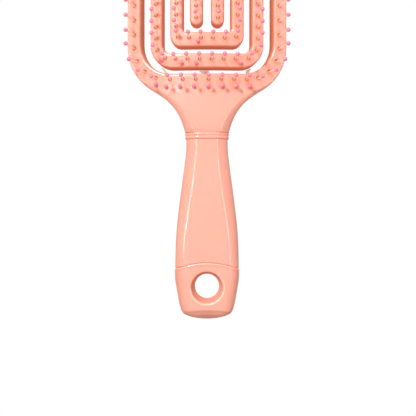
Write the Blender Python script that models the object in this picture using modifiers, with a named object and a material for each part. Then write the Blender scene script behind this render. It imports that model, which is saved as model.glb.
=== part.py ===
"""Vented paddle hair brush: crowned open head, four sprung tines, grip with a hanging hole.

Metres, +Z up. The brush lies on its back: the pins point along +Z, the head end along +Y.
The origin is the middle of the brush, on the surface that it lies on.

The head is laid out flat, with z = 0 on its front face, and then bent over a crown whose axis
runs along Y. A flat x is therefore a length measured over the crown.
"""

import math
from dataclasses import dataclass

import bmesh
import bpy
from mathutils import Matrix, Vector

# Overall
CROWN_RADIUS = 0.180
BAR_THICKNESS = 0.0095

# Clearances
FIT_GAP = 0.0003
HINGE_GAP = 0.0007
WEB_CLEARANCE = 0.0010
OVERRUN = 0.002
WELD = 0.00001

# Shells of the head
SHELL_WALL = 0.0014
BACK_COVER_DEPTH = 0.0038
EDGE_ROUND = 0.0012
NECK_FRONT_ROUND = 0.0046
NECK_BACK_ROUND = 0.0034
NECK_CAVITY_INSET = 0.0050
ROUND_STEPS = 2
BEND_STEP = 0.0109
FAN_STEP = 0.0060

# Outer frame of the head
HEAD_HALF_WIDTH = 0.0437
FRAME_BAR_WIDTH = 0.00765
TOP_BAR_WIDTH = 0.0107
OPENING_LENGTH = 0.08615
OPENING_CORNER = 0.017
OPENING_TOP_CORNER = 0.0045
TOP_CORNER = 0.016
LOWER_CORNER = 0.027
HEEL_DEPTH = 0.01215
LOWER_CORNER_TURN = math.radians(60)
CORNER_STEPS = 6
OPENING_CORNER_STEPS = 6

# Fan that runs from the head into the neck
FAN_LENGTH = 0.02292
NECK_HALF_WIDTH = 0.0119
NECK_END_TURN = math.radians(76)
NECK_HALF_DEPTH = 0.0065
FAN_REACH_SHARES = (0.40, 0.42)
FAN_STEPS = 7

# Shares of the width that the bars leave free between the frame and the brush's axis: the slots
# outside the middle loop, outside the inner loop and outside the finger, and half of the last one
SLOT_SHARES = (0.344, 0.273, 0.240, 0.143)

# Middle loop, inner loop and the two fingers, all hung from the top bar
MIDDLE_GAP = 0.0028
MIDDLE_ARM_WIDTH = 0.00663
MIDDLE_BAR_WIDTH = 0.0080
MIDDLE_OUTER_CORNER = 0.0125
MIDDLE_INNER_CORNER = 0.005
INNER_GAP = 0.00335
INNER_ARM_WIDTH = 0.0069
INNER_BAR_WIDTH = 0.0080
INNER_OUTER_CORNER = 0.0058
INNER_INNER_CORNER = 0.0020
FINGER_GAP = 0.0034
FINGER_WIDTH = 0.0071
LOOP_CORNER_STEPS = 5
SMALL_CORNER_STEPS = 3
FINGER_END_STEPS = 6

# Pins, their holes and their ball tips
PIN_HEIGHT = 0.0125
TIP_SHARE = -0.030
EDGE_TIP_SHARE = 0.018
LEAN_START = 0.020
LEAN_END = 0.040
CORNER_LEAN = 0.0014
CORNER_LEAN_START = 0.021
CORNER_LEAN_END = 0.027
CORNER_LEAN_SHARES = (0.60, 0.94)
PIN_FOOT_RADIUS = 0.00055
PIN_TOP_RADIUS = 0.00048
PIN_SIDES = 4
HOLE_RADIUS = 0.0010
HOLE_SIDES = 6
STUD_HOLE_RADIUS = 0.00075
STUD_NECK_RADIUS = 0.00045
TIP_RADIUS = 0.00115
STRIP_HALF_WIDTH = 0.0011
STRIP_THICKNESS = 0.0014
STRIP_END = 0.0009
PAD_HALF_WIDTH = 0.00075

# Pin rows: distance of a row from the edge of its bar, and spacing along it
FRAME_ROW_INSET = 0.0044
FRAME_TOP_ROW_INSET = 0.0054
FRAME_BOTTOM_ROW_INSET = 0.00325
FRAME_ROW_CORNER = 0.0175
FRAME_TOP_ROW_CORNER = 0.011
FRAME_PITCH = 0.00685
FRAME_CORNER_PITCH = 0.0071
FRAME_ROW_SHIFT = 0.0008
FRAME_COLUMN_PITCH = 0.00785
FRAME_ROW_PINS = 7
FRAME_CORNER_PINS = 4
FRAME_TOP_CORNER_PINS = 3
MIDDLE_ROW_INSET = 0.00335
MIDDLE_ROW_RISE = 0.00475
MIDDLE_ROW_CORNER = 0.008
MIDDLE_PITCH = 0.0064
MIDDLE_ROW_SHIFT = -0.0007
MIDDLE_BOTTOM_PINS = 8
INNER_ROW_INSET = 0.0035
INNER_ROW_RISE = 0.00468
INNER_ROW_CORNER = 0.0025
INNER_PITCH = 0.0063
INNER_BOTTOM_PINS = 6
COLUMN_PITCH = 0.00613
INNER_COLUMN_START = 0.0037
FINGER_PITCH = 0.0064
FINGER_FIRST_PIN = 0.0039

# Low studs: a row on the frame below its pins, a few on the loops
STUD_ROW_DROP = 0.0037
STUD_END_INSET = 0.0160
STUD_ROW_COUNT = 7
STUD_ROW_SHIFT = 0.0005
LAST_STUD_STEP = 0.0055
LAST_STUD_RISE = 0.0011
MIDDLE_STUD_DROP = 0.0021
MIDDLE_STUD_SHARES = (-0.44, -0.19, 0.58)
CORNER_STUD_TURN = math.radians(233)
CORNER_STUD_INSET = 0.0024
INNER_STUD_DROP = 0.0018
INNER_STUD_SHARE = -0.24

# Webs that bridge the gap below the middle loop
WEB_DEPTH = 0.0032
WEB_THICKNESS = 0.0014
WEB_HALF_WIDTH = 0.0008
RIGHT_WEB_HALF_WIDTH = 0.0011
CENTRE_WEB_HALF_WIDTH = 0.0027
CENTRE_WEB_FOOT = 0.0012
# Half widths of each web at the loop and at the frame
WEB_HALF_WIDTHS = {
    "bridge_web_left": (WEB_HALF_WIDTH, WEB_HALF_WIDTH),
    "bridge_web_centre": (CENTRE_WEB_HALF_WIDTH, CENTRE_WEB_FOOT),
    "bridge_web_right": (RIGHT_WEB_HALF_WIDTH, WEB_HALF_WIDTH),
}
# Their places there across the brush, as shares of the loop's half width
WEB_PLACE_SHARES = {
    "bridge_web_left": (-0.80, -0.72),
    "bridge_web_centre": (-0.05, -0.035),
    "bridge_web_right": (0.745, 0.725),
}

# Grip, collar and end cap
GRIP_LENGTH = 0.0963
COLLAR_LENGTH = 0.0034
CAP_LENGTH = 0.0306
SEAM_SAG = 0.0035
GRIP_HALF_WIDTH = 0.0171
GRIP_FRONT_DEPTH = 0.0095
GRIP_NECK_HALF_WIDTH = 0.01115
GRIP_NECK_DEPTH = 0.0062
GRIP_WALL = 0.0020
CAP_STEP = 0.0002
SPIGOT_LENGTH = 0.006
TANG_LENGTH = 0.034
COLLAR_BEAD = 0.0006
COLLAR_GROOVE = 0.0003
COLLAR_EDGE = 0.0001
HANG_HOLE_INSET = 0.0174
HANG_HOLE_RADIUS = 0.0065
HANG_HOLE_FLARE = 0.0022
HANG_HOLE_SIDES = 20
THROAT_SHARE = 0.12
QUARTER_STEPS = 5
PANEL_STEPS = 4

# Share of the way along the grip, then of the growth in width, front depth and back depth, and
# the share of the half width that the flat front panel takes
GRIP_SHARES = (
    (0.00, 0.00, 0.00, 0.00, 0.50),
    (0.09, 0.01, 0.05, 0.08, 0.50),
    (0.20, 0.16, 0.20, 0.34, 0.52),
    (0.35, 0.39, 0.45, 0.74, 0.55),
    (0.50, 0.62, 0.68, 1.00, 0.60),
    (0.65, 0.82, 0.86, 1.00, 0.64),
    (0.80, 0.95, 0.97, 1.00, 0.68),
    (1.00, 1.00, 1.00, 1.00, 0.70),
)
# Share of the way along the end cap, then of the full width and of the full depth
CAP_SHARES = (
    (0.000, 1.000, 1.00),
    (0.220, 0.994, 1.00),
    (0.470, 0.940, 1.00),
    (0.680, 0.883, 0.99),
    (0.790, 0.836, 0.965),
    (0.860, 0.790, 0.90),
    (0.905, 0.720, 0.80),
    (0.945, 0.560, 0.63),
    (0.977, 0.345, 0.42),
    (1.000, 0.140, 0.16),
)
CAP_SAG_SHARE = 0.6
BACK_PANEL_SHARE = 0.45

# Places that the sizes above give: along Y, then across
CORNER_REACH = HEEL_DEPTH - LOWER_CORNER * (1 - math.sin(LOWER_CORNER_TURN))
HEAD_LENGTH = TOP_BAR_WIDTH + OPENING_LENGTH + CORNER_REACH + FAN_LENGTH
TOTAL_LENGTH = HEAD_LENGTH + COLLAR_LENGTH + GRIP_LENGTH
HEAD_TOP = TOTAL_LENGTH / 2
GRIP_END = -TOTAL_LENGTH / 2
OPENING_TOP = HEAD_TOP - TOP_BAR_WIDTH
OPENING_BOTTOM = OPENING_TOP - OPENING_LENGTH
ARM_END = OPENING_TOP - HINGE_GAP
GRIP_START = GRIP_END + GRIP_LENGTH
NECK_END = GRIP_START + COLLAR_LENGTH
SEAM_Y = GRIP_END + CAP_LENGTH
MIDDLE_BOTTOM = OPENING_BOTTOM + MIDDLE_GAP
INNER_BOTTOM = MIDDLE_BOTTOM + MIDDLE_BAR_WIDTH + INNER_GAP
FINGER_BOTTOM = INNER_BOTTOM + INNER_BAR_WIDTH + FINGER_GAP
LOWER_CORNER_Y = OPENING_BOTTOM - HEEL_DEPTH + LOWER_CORNER
FAN_TOP = OPENING_BOTTOM - CORNER_REACH
OPENING_HALF_WIDTH = HEAD_HALF_WIDTH - FRAME_BAR_WIDTH
FREE_WIDTH = OPENING_HALF_WIDTH - MIDDLE_ARM_WIDTH - INNER_ARM_WIDTH - FINGER_WIDTH
MIDDLE_HALF_WIDTH = OPENING_HALF_WIDTH - FREE_WIDTH * SLOT_SHARES[0]
INNER_HALF_WIDTH = MIDDLE_HALF_WIDTH - MIDDLE_ARM_WIDTH - FREE_WIDTH * SLOT_SHARES[1]
FINGER_SLOT_HALF_WIDTH = FREE_WIDTH * SLOT_SHARES[3]

# Heights: the back edges of the side bars touch the ground
FRONT_Z = CROWN_RADIUS - (CROWN_RADIUS - BAR_THICKNESS) * math.cos(HEAD_HALF_WIDTH / CROWN_RADIUS)
MID_Z = FRONT_Z - BAR_THICKNESS / 2
SEAM_DEPTH = BAR_THICKNESS - BACK_COVER_DEPTH
CAVITY_TOP = -SHELL_WALL
STRIP_TOP = CAVITY_TOP - FIT_GAP
ROW_TOP = ARM_END - SHELL_WALL - FIT_GAP - STRIP_END

PEACH = (0.98, 0.50, 0.39, 1.0)
NYLON = (0.78, 0.60, 0.44, 1.0)

QUARTER = math.pi / 2
SMOOTH_ANGLE = math.radians(32)


@dataclass
class Loop:
    """A U-shaped loop of the head, hung from the top bar."""

    half_width: float
    arm_width: float
    bottom: float
    bar_width: float
    outer_corner: float
    inner_corner: float


MIDDLE = Loop(
    MIDDLE_HALF_WIDTH, MIDDLE_ARM_WIDTH, MIDDLE_BOTTOM, MIDDLE_BAR_WIDTH,
    MIDDLE_OUTER_CORNER, MIDDLE_INNER_CORNER,
)
INNER = Loop(
    INNER_HALF_WIDTH, INNER_ARM_WIDTH, INNER_BOTTOM, INNER_BAR_WIDTH,
    INNER_OUTER_CORNER, INNER_INNER_CORNER,
)


def clear_scene():
    for old in list(bpy.data.objects):
        bpy.data.objects.remove(old, do_unlink=True)


def make_collection(name):
    collection = bpy.data.collections.new(name)
    bpy.context.scene.collection.children.link(collection)
    return collection


def make_material(name, colour, roughness):
    material = bpy.data.materials.new(name)
    material.use_nodes = True
    shader = material.node_tree.nodes["Principled BSDF"]
    shader.inputs["Base Color"].default_value = colour
    shader.inputs["Roughness"].default_value = roughness
    shader.inputs["Metallic"].default_value = 0.0
    return material


def smooth_share(start, end, value):
    """Ease from 0 at start to 1 at end."""
    share = min(max((value - start) / (end - start), 0.0), 1.0)
    return share * share * (3 - 2 * share)


def crown(point):
    """Carry a point of the flat layout over the crown, and deepen the fan toward the neck."""
    growth = NECK_HALF_DEPTH / (BAR_THICKNESS / 2) - 1
    swell = 1 + growth * smooth_share(FAN_TOP, NECK_END, point.y)
    depth = (point.z + BAR_THICKNESS / 2) * swell - BAR_THICKNESS / 2
    turn = point.x / CROWN_RADIUS
    reach = CROWN_RADIUS + depth
    return Vector((reach * math.sin(turn), point.y, FRONT_Z - CROWN_RADIUS + reach * math.cos(turn)))


# Outlines in the flat layout


def arc(centre, radius, start, end, steps):
    """Points on an arc, both ends included."""
    points = []
    for step in range(steps + 1):
        angle = start + (end - start) * step / steps
        points.append(Vector((centre[0] + radius * math.cos(angle), centre[1] + radius * math.sin(angle))))
    return points


def mirrored(points):
    """The same points on the other side of the brush's axis, in reverse order."""
    return [Vector((-point.x, point.y)) for point in reversed(points)]


def fan_edge():
    """The S-curve from the end of the lower corner to the neck."""
    corner_x = HEAD_HALF_WIDTH - LOWER_CORNER
    start = Vector((corner_x + LOWER_CORNER * math.cos(LOWER_CORNER_TURN), FAN_TOP))
    end = Vector((NECK_HALF_WIDTH, NECK_END))
    chord = (end - start).length
    out_turn = LOWER_CORNER_TURN - QUARTER
    leave = Vector((-math.cos(out_turn), math.sin(out_turn)))
    arrive = Vector((math.cos(NECK_END_TURN), math.sin(NECK_END_TURN)))
    first = start + leave * chord * FAN_REACH_SHARES[0]
    second = end + arrive * chord * FAN_REACH_SHARES[1]
    points = []
    for step in range(1, FAN_STEPS + 1):
        t = step / FAN_STEPS
        s = 1 - t
        points.append(start * s**3 + first * 3 * s * s * t + second * 3 * s * t * t + end * t**3)
    return points


def frame_outline():
    """Outer edge of the frame and fan, counter-clockwise."""
    corner_x = HEAD_HALF_WIDTH - LOWER_CORNER
    lower = arc((corner_x, LOWER_CORNER_Y), LOWER_CORNER, 0, -LOWER_CORNER_TURN, CORNER_STEPS)
    top_centre = (HEAD_HALF_WIDTH - TOP_CORNER, HEAD_TOP - TOP_CORNER)
    upper = arc(top_centre, TOP_CORNER, QUARTER, 0, CORNER_STEPS)
    right = upper + lower + fan_edge()
    return mirrored(right) + right


def opening_outline():
    """Edge of the frame's opening."""
    top_centre = (OPENING_HALF_WIDTH - OPENING_TOP_CORNER, OPENING_TOP - OPENING_TOP_CORNER)
    top = arc(top_centre, OPENING_TOP_CORNER, QUARTER, 0, SMALL_CORNER_STEPS)
    low_centre = (OPENING_HALF_WIDTH - OPENING_CORNER, OPENING_BOTTOM + OPENING_CORNER)
    right = top + arc(low_centre, OPENING_CORNER, 0, -QUARTER, OPENING_CORNER_STEPS)
    return mirrored(right) + right


def loop_outline(loop):
    """Edge of a U-shaped loop: down the outside, along the bottom and back up the inside."""
    outer_x = loop.half_width - loop.outer_corner
    outer = [Vector((loop.half_width, ARM_END))]
    outer_y = loop.bottom + loop.outer_corner
    outer += arc((outer_x, outer_y), loop.outer_corner, 0, -QUARTER, LOOP_CORNER_STEPS)
    inner_x = loop.half_width - loop.arm_width - loop.inner_corner
    inner_y = loop.bottom + loop.bar_width + loop.inner_corner
    inner = arc((inner_x, inner_y), loop.inner_corner, -QUARTER, 0, SMALL_CORNER_STEPS)
    inner.append(Vector((loop.half_width - loop.arm_width, ARM_END)))
    return outer + mirrored(outer) + mirrored(inner) + inner


def finger_outline(side):
    """Edge of a finger, with its free end rounded."""
    near = FINGER_SLOT_HALF_WIDTH
    far = near + FINGER_WIDTH
    round_end = FINGER_WIDTH / 2
    points = [Vector((near, ARM_END))]
    points += arc((near + round_end, FINGER_BOTTOM + round_end), round_end, -math.pi, 0, FINGER_END_STEPS)
    points.append(Vector((far, ARM_END)))
    return [Vector((side * point.x, point.y)) for point in points]


def signed_area(points):
    total = 0.0
    for index, point in enumerate(points):
        following = points[(index + 1) % len(points)]
        total += point.x * following.y - following.x * point.y
    return total / 2


def inset_outline(points, inset_at):
    """Move an outline inward by a distance that may change along it."""
    turn = 1 if signed_area(points) > 0 else -1
    result = []
    for index, point in enumerate(points):
        before = (point - points[index - 1]).normalized()
        after = (points[(index + 1) % len(points)] - point).normalized()
        first = Vector((-before.y, before.x)) * turn
        second = Vector((-after.y, after.x)) * turn
        middle = (first + second).normalized()
        result.append(point + middle * inset_at(point) / middle.dot(second))
    return result


def wall_inset(point):
    """Side wall of the frame's shells: thicker where the neck is rounded."""
    return SHELL_WALL + (NECK_CAVITY_INSET - SHELL_WALL) * smooth_share(FAN_TOP, NECK_END, point.y)


def plain_inset(point):
    return SHELL_WALL


def outward_wall(point):
    return -SHELL_WALL


# Solids in the flat layout


def settled_mesh(guide):
    """The mesh of an object as its modifiers leave it."""
    depsgraph = bpy.context.evaluated_depsgraph_get()
    return bpy.data.meshes.new_from_object(guide.evaluated_get(depsgraph), depsgraph=depsgraph)


def add_guide(name, data):
    """A cutter or a body under construction, kept out of the model."""
    guide = bpy.data.objects.new(name, data)
    guide.hide_render = True
    guide.display_type = "WIRE"
    guides.objects.link(guide)
    return guide


def plate(name, outlines, low, high):
    """A flat plate between two heights; a second outline is a hole in it."""
    curve = bpy.data.curves.new(name, "CURVE")
    curve.dimensions = "2D"
    curve.fill_mode = "BOTH"
    curve.extrude = (high - low) / 2
    for outline in outlines:
        spline = curve.splines.new("POLY")
        spline.points.add(len(outline) - 1)
        for knot, point in zip(spline.points, outline):
            knot.co = (point.x, point.y, 0, 1)
        spline.use_cyclic_u = True
    guide = add_guide(name, curve)
    mesh = settled_mesh(guide)
    bpy.data.objects.remove(guide)
    work = bmesh.new()
    work.from_mesh(mesh)
    bmesh.ops.remove_doubles(work, verts=work.verts, dist=WELD)
    bmesh.ops.translate(work, verts=work.verts, vec=(0, 0, (high + low) / 2))
    bmesh.ops.dissolve_limit(
        work, angle_limit=math.radians(1), verts=work.verts, edges=work.edges, use_dissolve_boundaries=False
    )
    bmesh.ops.recalc_face_normals(work, faces=work.faces)
    work.to_mesh(mesh)
    work.free()
    return mesh


def weigh_rim(mesh, height, width_at, full_width):
    """Mark the edges of one face of a plate to be rounded, each to its own width."""
    weights = mesh.attributes.new("bevel_weight_edge", "FLOAT", "EDGE")
    work = bmesh.new()
    work.from_mesh(mesh)
    work.edges.ensure_lookup_table()
    for edge in work.edges:
        level = all(abs(vert.co.z - height) < WELD for vert in edge.verts)
        rim = any(abs(face.normal.z) < 0.5 for face in edge.link_faces)
        if level and rim:
            middle = (edge.verts[0].co + edge.verts[1].co) / 2
            weights.data[edge.index].value = width_at(middle) / full_width
    work.free()


def round_rim(guide, height, width_at, full_width):
    weigh_rim(guide.data, height, width_at, full_width)
    bevel = guide.modifiers.new("rim", "BEVEL")
    bevel.limit_method = "WEIGHT"
    bevel.width = full_width
    bevel.segments = ROUND_STEPS
    bevel.use_clamp_overlap = False


def combine(guide, other, operation, crossing=False):
    """Add a Boolean; crossing says that the other's own bodies may run through each other."""
    change = guide.modifiers.new(operation.lower(), "BOOLEAN")
    change.operation = operation
    change.solver = "EXACT"
    change.use_self = crossing
    change.object = other


def hole_cutter(name, places, radius):
    """Round holes through the front wall, one for each pin or stud."""
    work = bmesh.new()
    height = SHELL_WALL + 2 * OVERRUN
    for place in places:
        bmesh.ops.create_cone(
            work, cap_ends=True, segments=HOLE_SIDES, radius1=radius, radius2=radius, depth=height,
            matrix=Matrix.Translation((place.x, place.y, -SHELL_WALL / 2)),
        )
    mesh = bpy.data.meshes.new(name)
    work.to_mesh(mesh)
    work.free()
    return add_guide(name, mesh)


def cut_for_bending(mesh):
    """Cut a flat mesh into strips that are narrow enough to follow the crown and the fan."""
    work = bmesh.new()
    work.from_mesh(mesh)
    count = int(HEAD_HALF_WIDTH / BEND_STEP)
    cuts = [((index * BEND_STEP, 0, 0), (1, 0, 0)) for index in range(-count, count + 1)]
    steps = int((FAN_TOP - NECK_END) / FAN_STEP)
    cuts += [((0, NECK_END + index * FAN_STEP, 0), (0, 1, 0)) for index in range(1, steps + 1)]
    for place, direction in cuts:
        whole = work.verts[:] + work.edges[:] + work.faces[:]
        bmesh.ops.bisect_plane(work, geom=whole, dist=WELD, plane_co=place, plane_no=direction)
    work.to_mesh(mesh)
    work.free()
    return mesh


def bend_over_crown(mesh):
    """Carry the points of a flat mesh over the crown."""
    work = bmesh.new()
    work.from_mesh(mesh)
    bmesh.ops.triangulate(work, faces=work.faces)
    for vert in work.verts:
        vert.co = crown(vert.co)
    bmesh.ops.dissolve_degenerate(work, edges=work.edges, dist=WELD)
    work.to_mesh(mesh)
    work.free()
    return mesh


def add_part(name, mesh, material, hinge=None):
    """Put a finished mesh into the model, under its hinge if it moves."""
    mesh.name = name
    mesh.materials.clear()
    mesh.materials.append(material)
    mesh.shade_smooth()
    mesh.set_sharp_from_angle(angle=SMOOTH_ANGLE)
    part = bpy.data.objects.new(name, mesh)
    model.objects.link(part)
    if hinge:
        part.parent = hinge
        part.matrix_parent_inverse = Matrix.Translation(-hinge.location)
    return part


def rim_width(point):
    return EDGE_ROUND


def front_rim_width(point):
    """Rounding of the frame's front edge, wider toward the neck."""
    return EDGE_ROUND + (NECK_FRONT_ROUND - EDGE_ROUND) * smooth_share(FAN_TOP, NECK_END, point.y)


def back_rim_width(point):
    return EDGE_ROUND + (NECK_BACK_ROUND - EDGE_ROUND) * smooth_share(FAN_TOP, NECK_END, point.y)


def front_shell(name, outlines, cavity, rows, studs, width_at, full_width):
    """Front half of a bar: closed on top, rounded, hollow, with a hole for each pin and stud."""
    guide = add_guide(name + "_body", plate(name, outlines, -SEAM_DEPTH, 0))
    round_rim(guide, 0, width_at, full_width)
    hollow = add_guide(name + "_cavity", plate(name, cavity, -SEAM_DEPTH - OVERRUN, CAVITY_TOP))
    combine(guide, hollow, "DIFFERENCE")
    places = [place for row in rows.values() for place in row]
    combine(guide, hole_cutter(name + "_holes", places, HOLE_RADIUS), "DIFFERENCE")
    if studs:
        combine(guide, hole_cutter(name + "_stud_holes", studs, STUD_HOLE_RADIUS), "DIFFERENCE")
    return bend_over_crown(cut_for_bending(settled_mesh(guide)))


def back_cover(name, outlines, cavity, width_at, full_width):
    """Back half of a bar: closed below, rounded, hollow toward the front shell."""
    low = -BAR_THICKNESS
    high = -SEAM_DEPTH - FIT_GAP
    guide = add_guide(name + "_body", plate(name, outlines, low, high))
    round_rim(guide, low, width_at, full_width)
    hollow = add_guide(name + "_cavity", plate(name, cavity, low + SHELL_WALL, high + OVERRUN))
    combine(guide, hollow, "DIFFERENCE")
    return bend_over_crown(cut_for_bending(settled_mesh(guide)))


# Pin rows


def rounded_point(half_width, bottom, corner, distance):
    """A point at a distance from the axis along a path with one rounded corner."""
    side = -1 if distance < 0 else 1
    along = abs(distance)
    straight = half_width - corner
    bend = corner * QUARTER
    if along <= straight:
        return Vector((side * along, bottom))
    if along <= straight + bend:
        turn = (along - straight) / corner
        x = straight + corner * math.sin(turn)
        return Vector((side * x, bottom + corner * (1 - math.cos(turn))))
    return Vector((side * half_width, bottom + corner + along - straight - bend))


def column_from(first, limit, pitch):
    """Places straight up from a first one, as many as fit below a limit."""
    count = int((limit - first.y) / pitch) + 1
    return [first + Vector((0, index * pitch)) for index in range(count)]


def frame_rows():
    """Pin places of the frame's four sides, ordered along each side."""
    half_width = HEAD_HALF_WIDTH - FRAME_ROW_INSET
    bottom = OPENING_BOTTOM - FRAME_BOTTOM_ROW_INSET
    half_row = (FRAME_ROW_PINS - 1) // 2
    shared = FRAME_CORNER_PINS // 2

    def low_point(index):
        beyond = max(abs(index) - half_row, 0)
        distance = min(abs(index), half_row) * FRAME_PITCH + beyond * FRAME_CORNER_PITCH
        shift = 0 if beyond else FRAME_ROW_SHIFT
        return rounded_point(half_width, bottom, FRAME_ROW_CORNER, math.copysign(distance, index) + shift)

    low_row = [low_point(index) for index in range(-half_row - shared, half_row + shared + 1)]
    column = [low_point(index) for index in range(half_row + shared + 1, half_row + FRAME_CORNER_PINS + 2)]
    column_top = HEAD_TOP - FRAME_TOP_ROW_INSET - FRAME_TOP_ROW_CORNER
    column += column_from(column.pop(), column_top, FRAME_COLUMN_PITCH)

    def top_point(distance):
        point = rounded_point(half_width, 0, FRAME_TOP_ROW_CORNER, distance)
        return Vector((point.x, HEAD_TOP - FRAME_TOP_ROW_INSET - point.y))

    row_end = half_row * FRAME_PITCH
    corner_path = half_width - FRAME_TOP_ROW_CORNER + FRAME_TOP_ROW_CORNER * QUARTER
    step = (corner_path + column_top - column[-1].y - row_end) / (FRAME_TOP_CORNER_PINS + 1)
    corner = [top_point(row_end + index * step) for index in range(1, FRAME_TOP_CORNER_PINS + 1)]
    column.append(corner.pop())
    high_row = [top_point(index * FRAME_PITCH) for index in range(-half_row, half_row + 1)]
    high_row = mirrored(corner) + high_row + corner
    other = [Vector((-point.x, point.y)) for point in column]
    return {"bottom": low_row, "top": high_row, "left": other, "right": column}


def bottom_row(half_width, bottom, corner, pitch, count, shift=0):
    """Pin places along a loop's bottom bar; all but the two outermost may be shifted."""
    row = []
    for index in range(count):
        offset = (index - (count - 1) / 2) * pitch
        if 0 < index < count - 1:
            offset += shift
        row.append(rounded_point(half_width, bottom, corner, offset))
    return row


def middle_rows():
    """Pin places of the middle loop: its bottom bar and its two arms."""
    half_width = MIDDLE.half_width - MIDDLE_ROW_INSET
    bottom = MIDDLE.bottom + MIDDLE_ROW_RISE
    low_row = bottom_row(
        half_width, bottom, MIDDLE_ROW_CORNER, MIDDLE_PITCH, MIDDLE_BOTTOM_PINS, MIDDLE_ROW_SHIFT
    )
    next_step = (MIDDLE_BOTTOM_PINS + 1) / 2 * MIDDLE_PITCH
    column = [rounded_point(half_width, bottom, MIDDLE_ROW_CORNER, next_step)]
    first = rounded_point(half_width, bottom, MIDDLE_ROW_CORNER, next_step + MIDDLE_PITCH)
    column += column_from(first, ROW_TOP, COLUMN_PITCH)
    other = [Vector((-point.x, point.y)) for point in column]
    return {"bottom": low_row, "left": other, "right": column}


def inner_rows():
    """Pin places of the inner loop."""
    half_width = INNER.half_width - INNER_ROW_INSET
    bottom = INNER.bottom + INNER_ROW_RISE
    low_row = bottom_row(half_width, bottom, INNER_ROW_CORNER, INNER_PITCH, INNER_BOTTOM_PINS)
    first = Vector((half_width, bottom + INNER_ROW_CORNER + INNER_COLUMN_START))
    column = column_from(first, ROW_TOP, COLUMN_PITCH)
    other = [Vector((-point.x, point.y)) for point in column]
    return {"bottom": low_row, "left": other, "right": column}


def finger_row(side):
    """Pin places of one finger, from its free end up."""
    first = Vector((side * (FINGER_SLOT_HALF_WIDTH + FINGER_WIDTH / 2), FINGER_BOTTOM + FINGER_FIRST_PIN))
    return column_from(first, ROW_TOP, FINGER_PITCH)


def ribbon_outline(path, half_width, end):
    """Outline of a flat ribbon along a path, run on a little past both ends."""
    first = path[0] + (path[0] - path[1]).normalized() * end
    last = path[-1] + (path[-1] - path[-2]).normalized() * end
    line = [first] + path[1:-1] + [last]
    left = []
    right = []
    for index, point in enumerate(line):
        ahead = line[min(index + 1, len(line) - 1)] - line[max(index - 1, 0)]
        across = Vector((-ahead.y, ahead.x)).normalized() * half_width
        left.append(point + across)
        right.append(point - across)
    return left + right[::-1]


def tip_place(place):
    """Middle of a pin's ball: near the edge of the head the pins lean out further, and in its
    lower corners they lean toward the handle too."""
    rest = smooth_share(LEAN_START, LEAN_END, abs(place.x))
    share = TIP_SHARE + (EDGE_TIP_SHARE - TIP_SHARE) * rest
    bottom = OPENING_BOTTOM - FRAME_BOTTOM_ROW_INSET
    low, high = (bottom + FRAME_ROW_CORNER * part for part in CORNER_LEAN_SHARES)
    corner = smooth_share(CORNER_LEAN_START, CORNER_LEAN_END, abs(place.x))
    lean = CORNER_LEAN * corner * (1 - smooth_share(low, high, place.y))
    return Vector((place.x * (1 + share), place.y - lean, PIN_HEIGHT))


def shaft_set(name, places, tips, foot_radius, top_radius):
    """Shafts from inside the strip to the middle of each ball."""
    foot = STRIP_TOP - STRIP_THICKNESS / 2
    work = bmesh.new()
    for place, tip in zip(places, tips):
        depth = tip.z - foot
        shaft = bmesh.ops.create_cone(
            work, cap_ends=True, segments=PIN_SIDES, radius1=foot_radius, radius2=top_radius,
            depth=depth, matrix=Matrix.Translation((place.x, place.y, foot + depth / 2)),
        )
        for vert in shaft["verts"]:
            rise = (vert.co.z - foot) / depth
            vert.co.x += (tip.x - place.x) * rise
            vert.co.y += (tip.y - place.y) * rise
    mesh = bpy.data.meshes.new(name)
    work.to_mesh(mesh)
    work.free()
    return add_guide(name, mesh)


def ball_set(name, places):
    """The ball at the end of each shaft, turned alike on both sides of the axis."""
    work = bmesh.new()
    for place in places:
        turn = Matrix.Rotation(math.pi if place.x < 0 else 0, 4, "Z")
        seat = Matrix.Translation(place) @ turn
        bmesh.ops.create_icosphere(work, subdivisions=1, radius=TIP_RADIUS, matrix=seat)
    mesh = bpy.data.meshes.new(name)
    work.to_mesh(mesh)
    work.free()
    return add_guide(name, mesh)


def pad_set(name, places, studs):
    """A pad from the strip out to each low stud, starting at the pin nearest to it."""
    work = bmesh.new()
    for stud in studs:
        root = min(places, key=lambda place: (place - stud).length)
        outline = ribbon_outline([root, stud], PAD_HALF_WIDTH, 0)
        work.from_mesh(plate(name, [outline], STRIP_TOP - STRIP_THICKNESS, STRIP_TOP))
    mesh = bpy.data.meshes.new(name)
    work.to_mesh(mesh)
    work.free()
    return add_guide(name, mesh)


def pin_row(name, places, studs, hinge=None):
    """Nylon strip under the front wall, with its pins and low studs standing on it."""
    outline = ribbon_outline(places, STRIP_HALF_WIDTH, STRIP_END)
    strip = plate(name, [outline], STRIP_TOP - STRIP_THICKNESS, STRIP_TOP)
    guide = add_guide(name + "_strip", cut_for_bending(strip))
    if studs:
        combine(guide, pad_set(name + "_pads", places, studs), "UNION", True)
    tips = [tip_place(place) for place in places]
    combine(guide, shaft_set(name + "_shafts", places, tips, PIN_FOOT_RADIUS, PIN_TOP_RADIUS), "UNION")
    if studs:
        low_tips = [Vector((stud.x, stud.y, TIP_RADIUS + FIT_GAP)) for stud in studs]
        necks = shaft_set(name + "_necks", studs, low_tips, STUD_NECK_RADIUS, STUD_NECK_RADIUS)
        combine(guide, necks, "UNION")
        tips += low_tips
    combine(guide, ball_set(name + "_balls", tips), "UNION")
    add_part(name, bend_over_crown(settled_mesh(guide)), nylon, hinge)


def pin_rows(label, rows, studs, hinge=None):
    """The pin rows of one piece of the head; the studs stand on the bottom row's strip."""
    for side, places in rows.items():
        suffix = "_" + side if side else ""
        pin_row(label + "_pins" + suffix, places, studs if side == "bottom" else [], hinge)


# Sub-assemblies of the head


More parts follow.
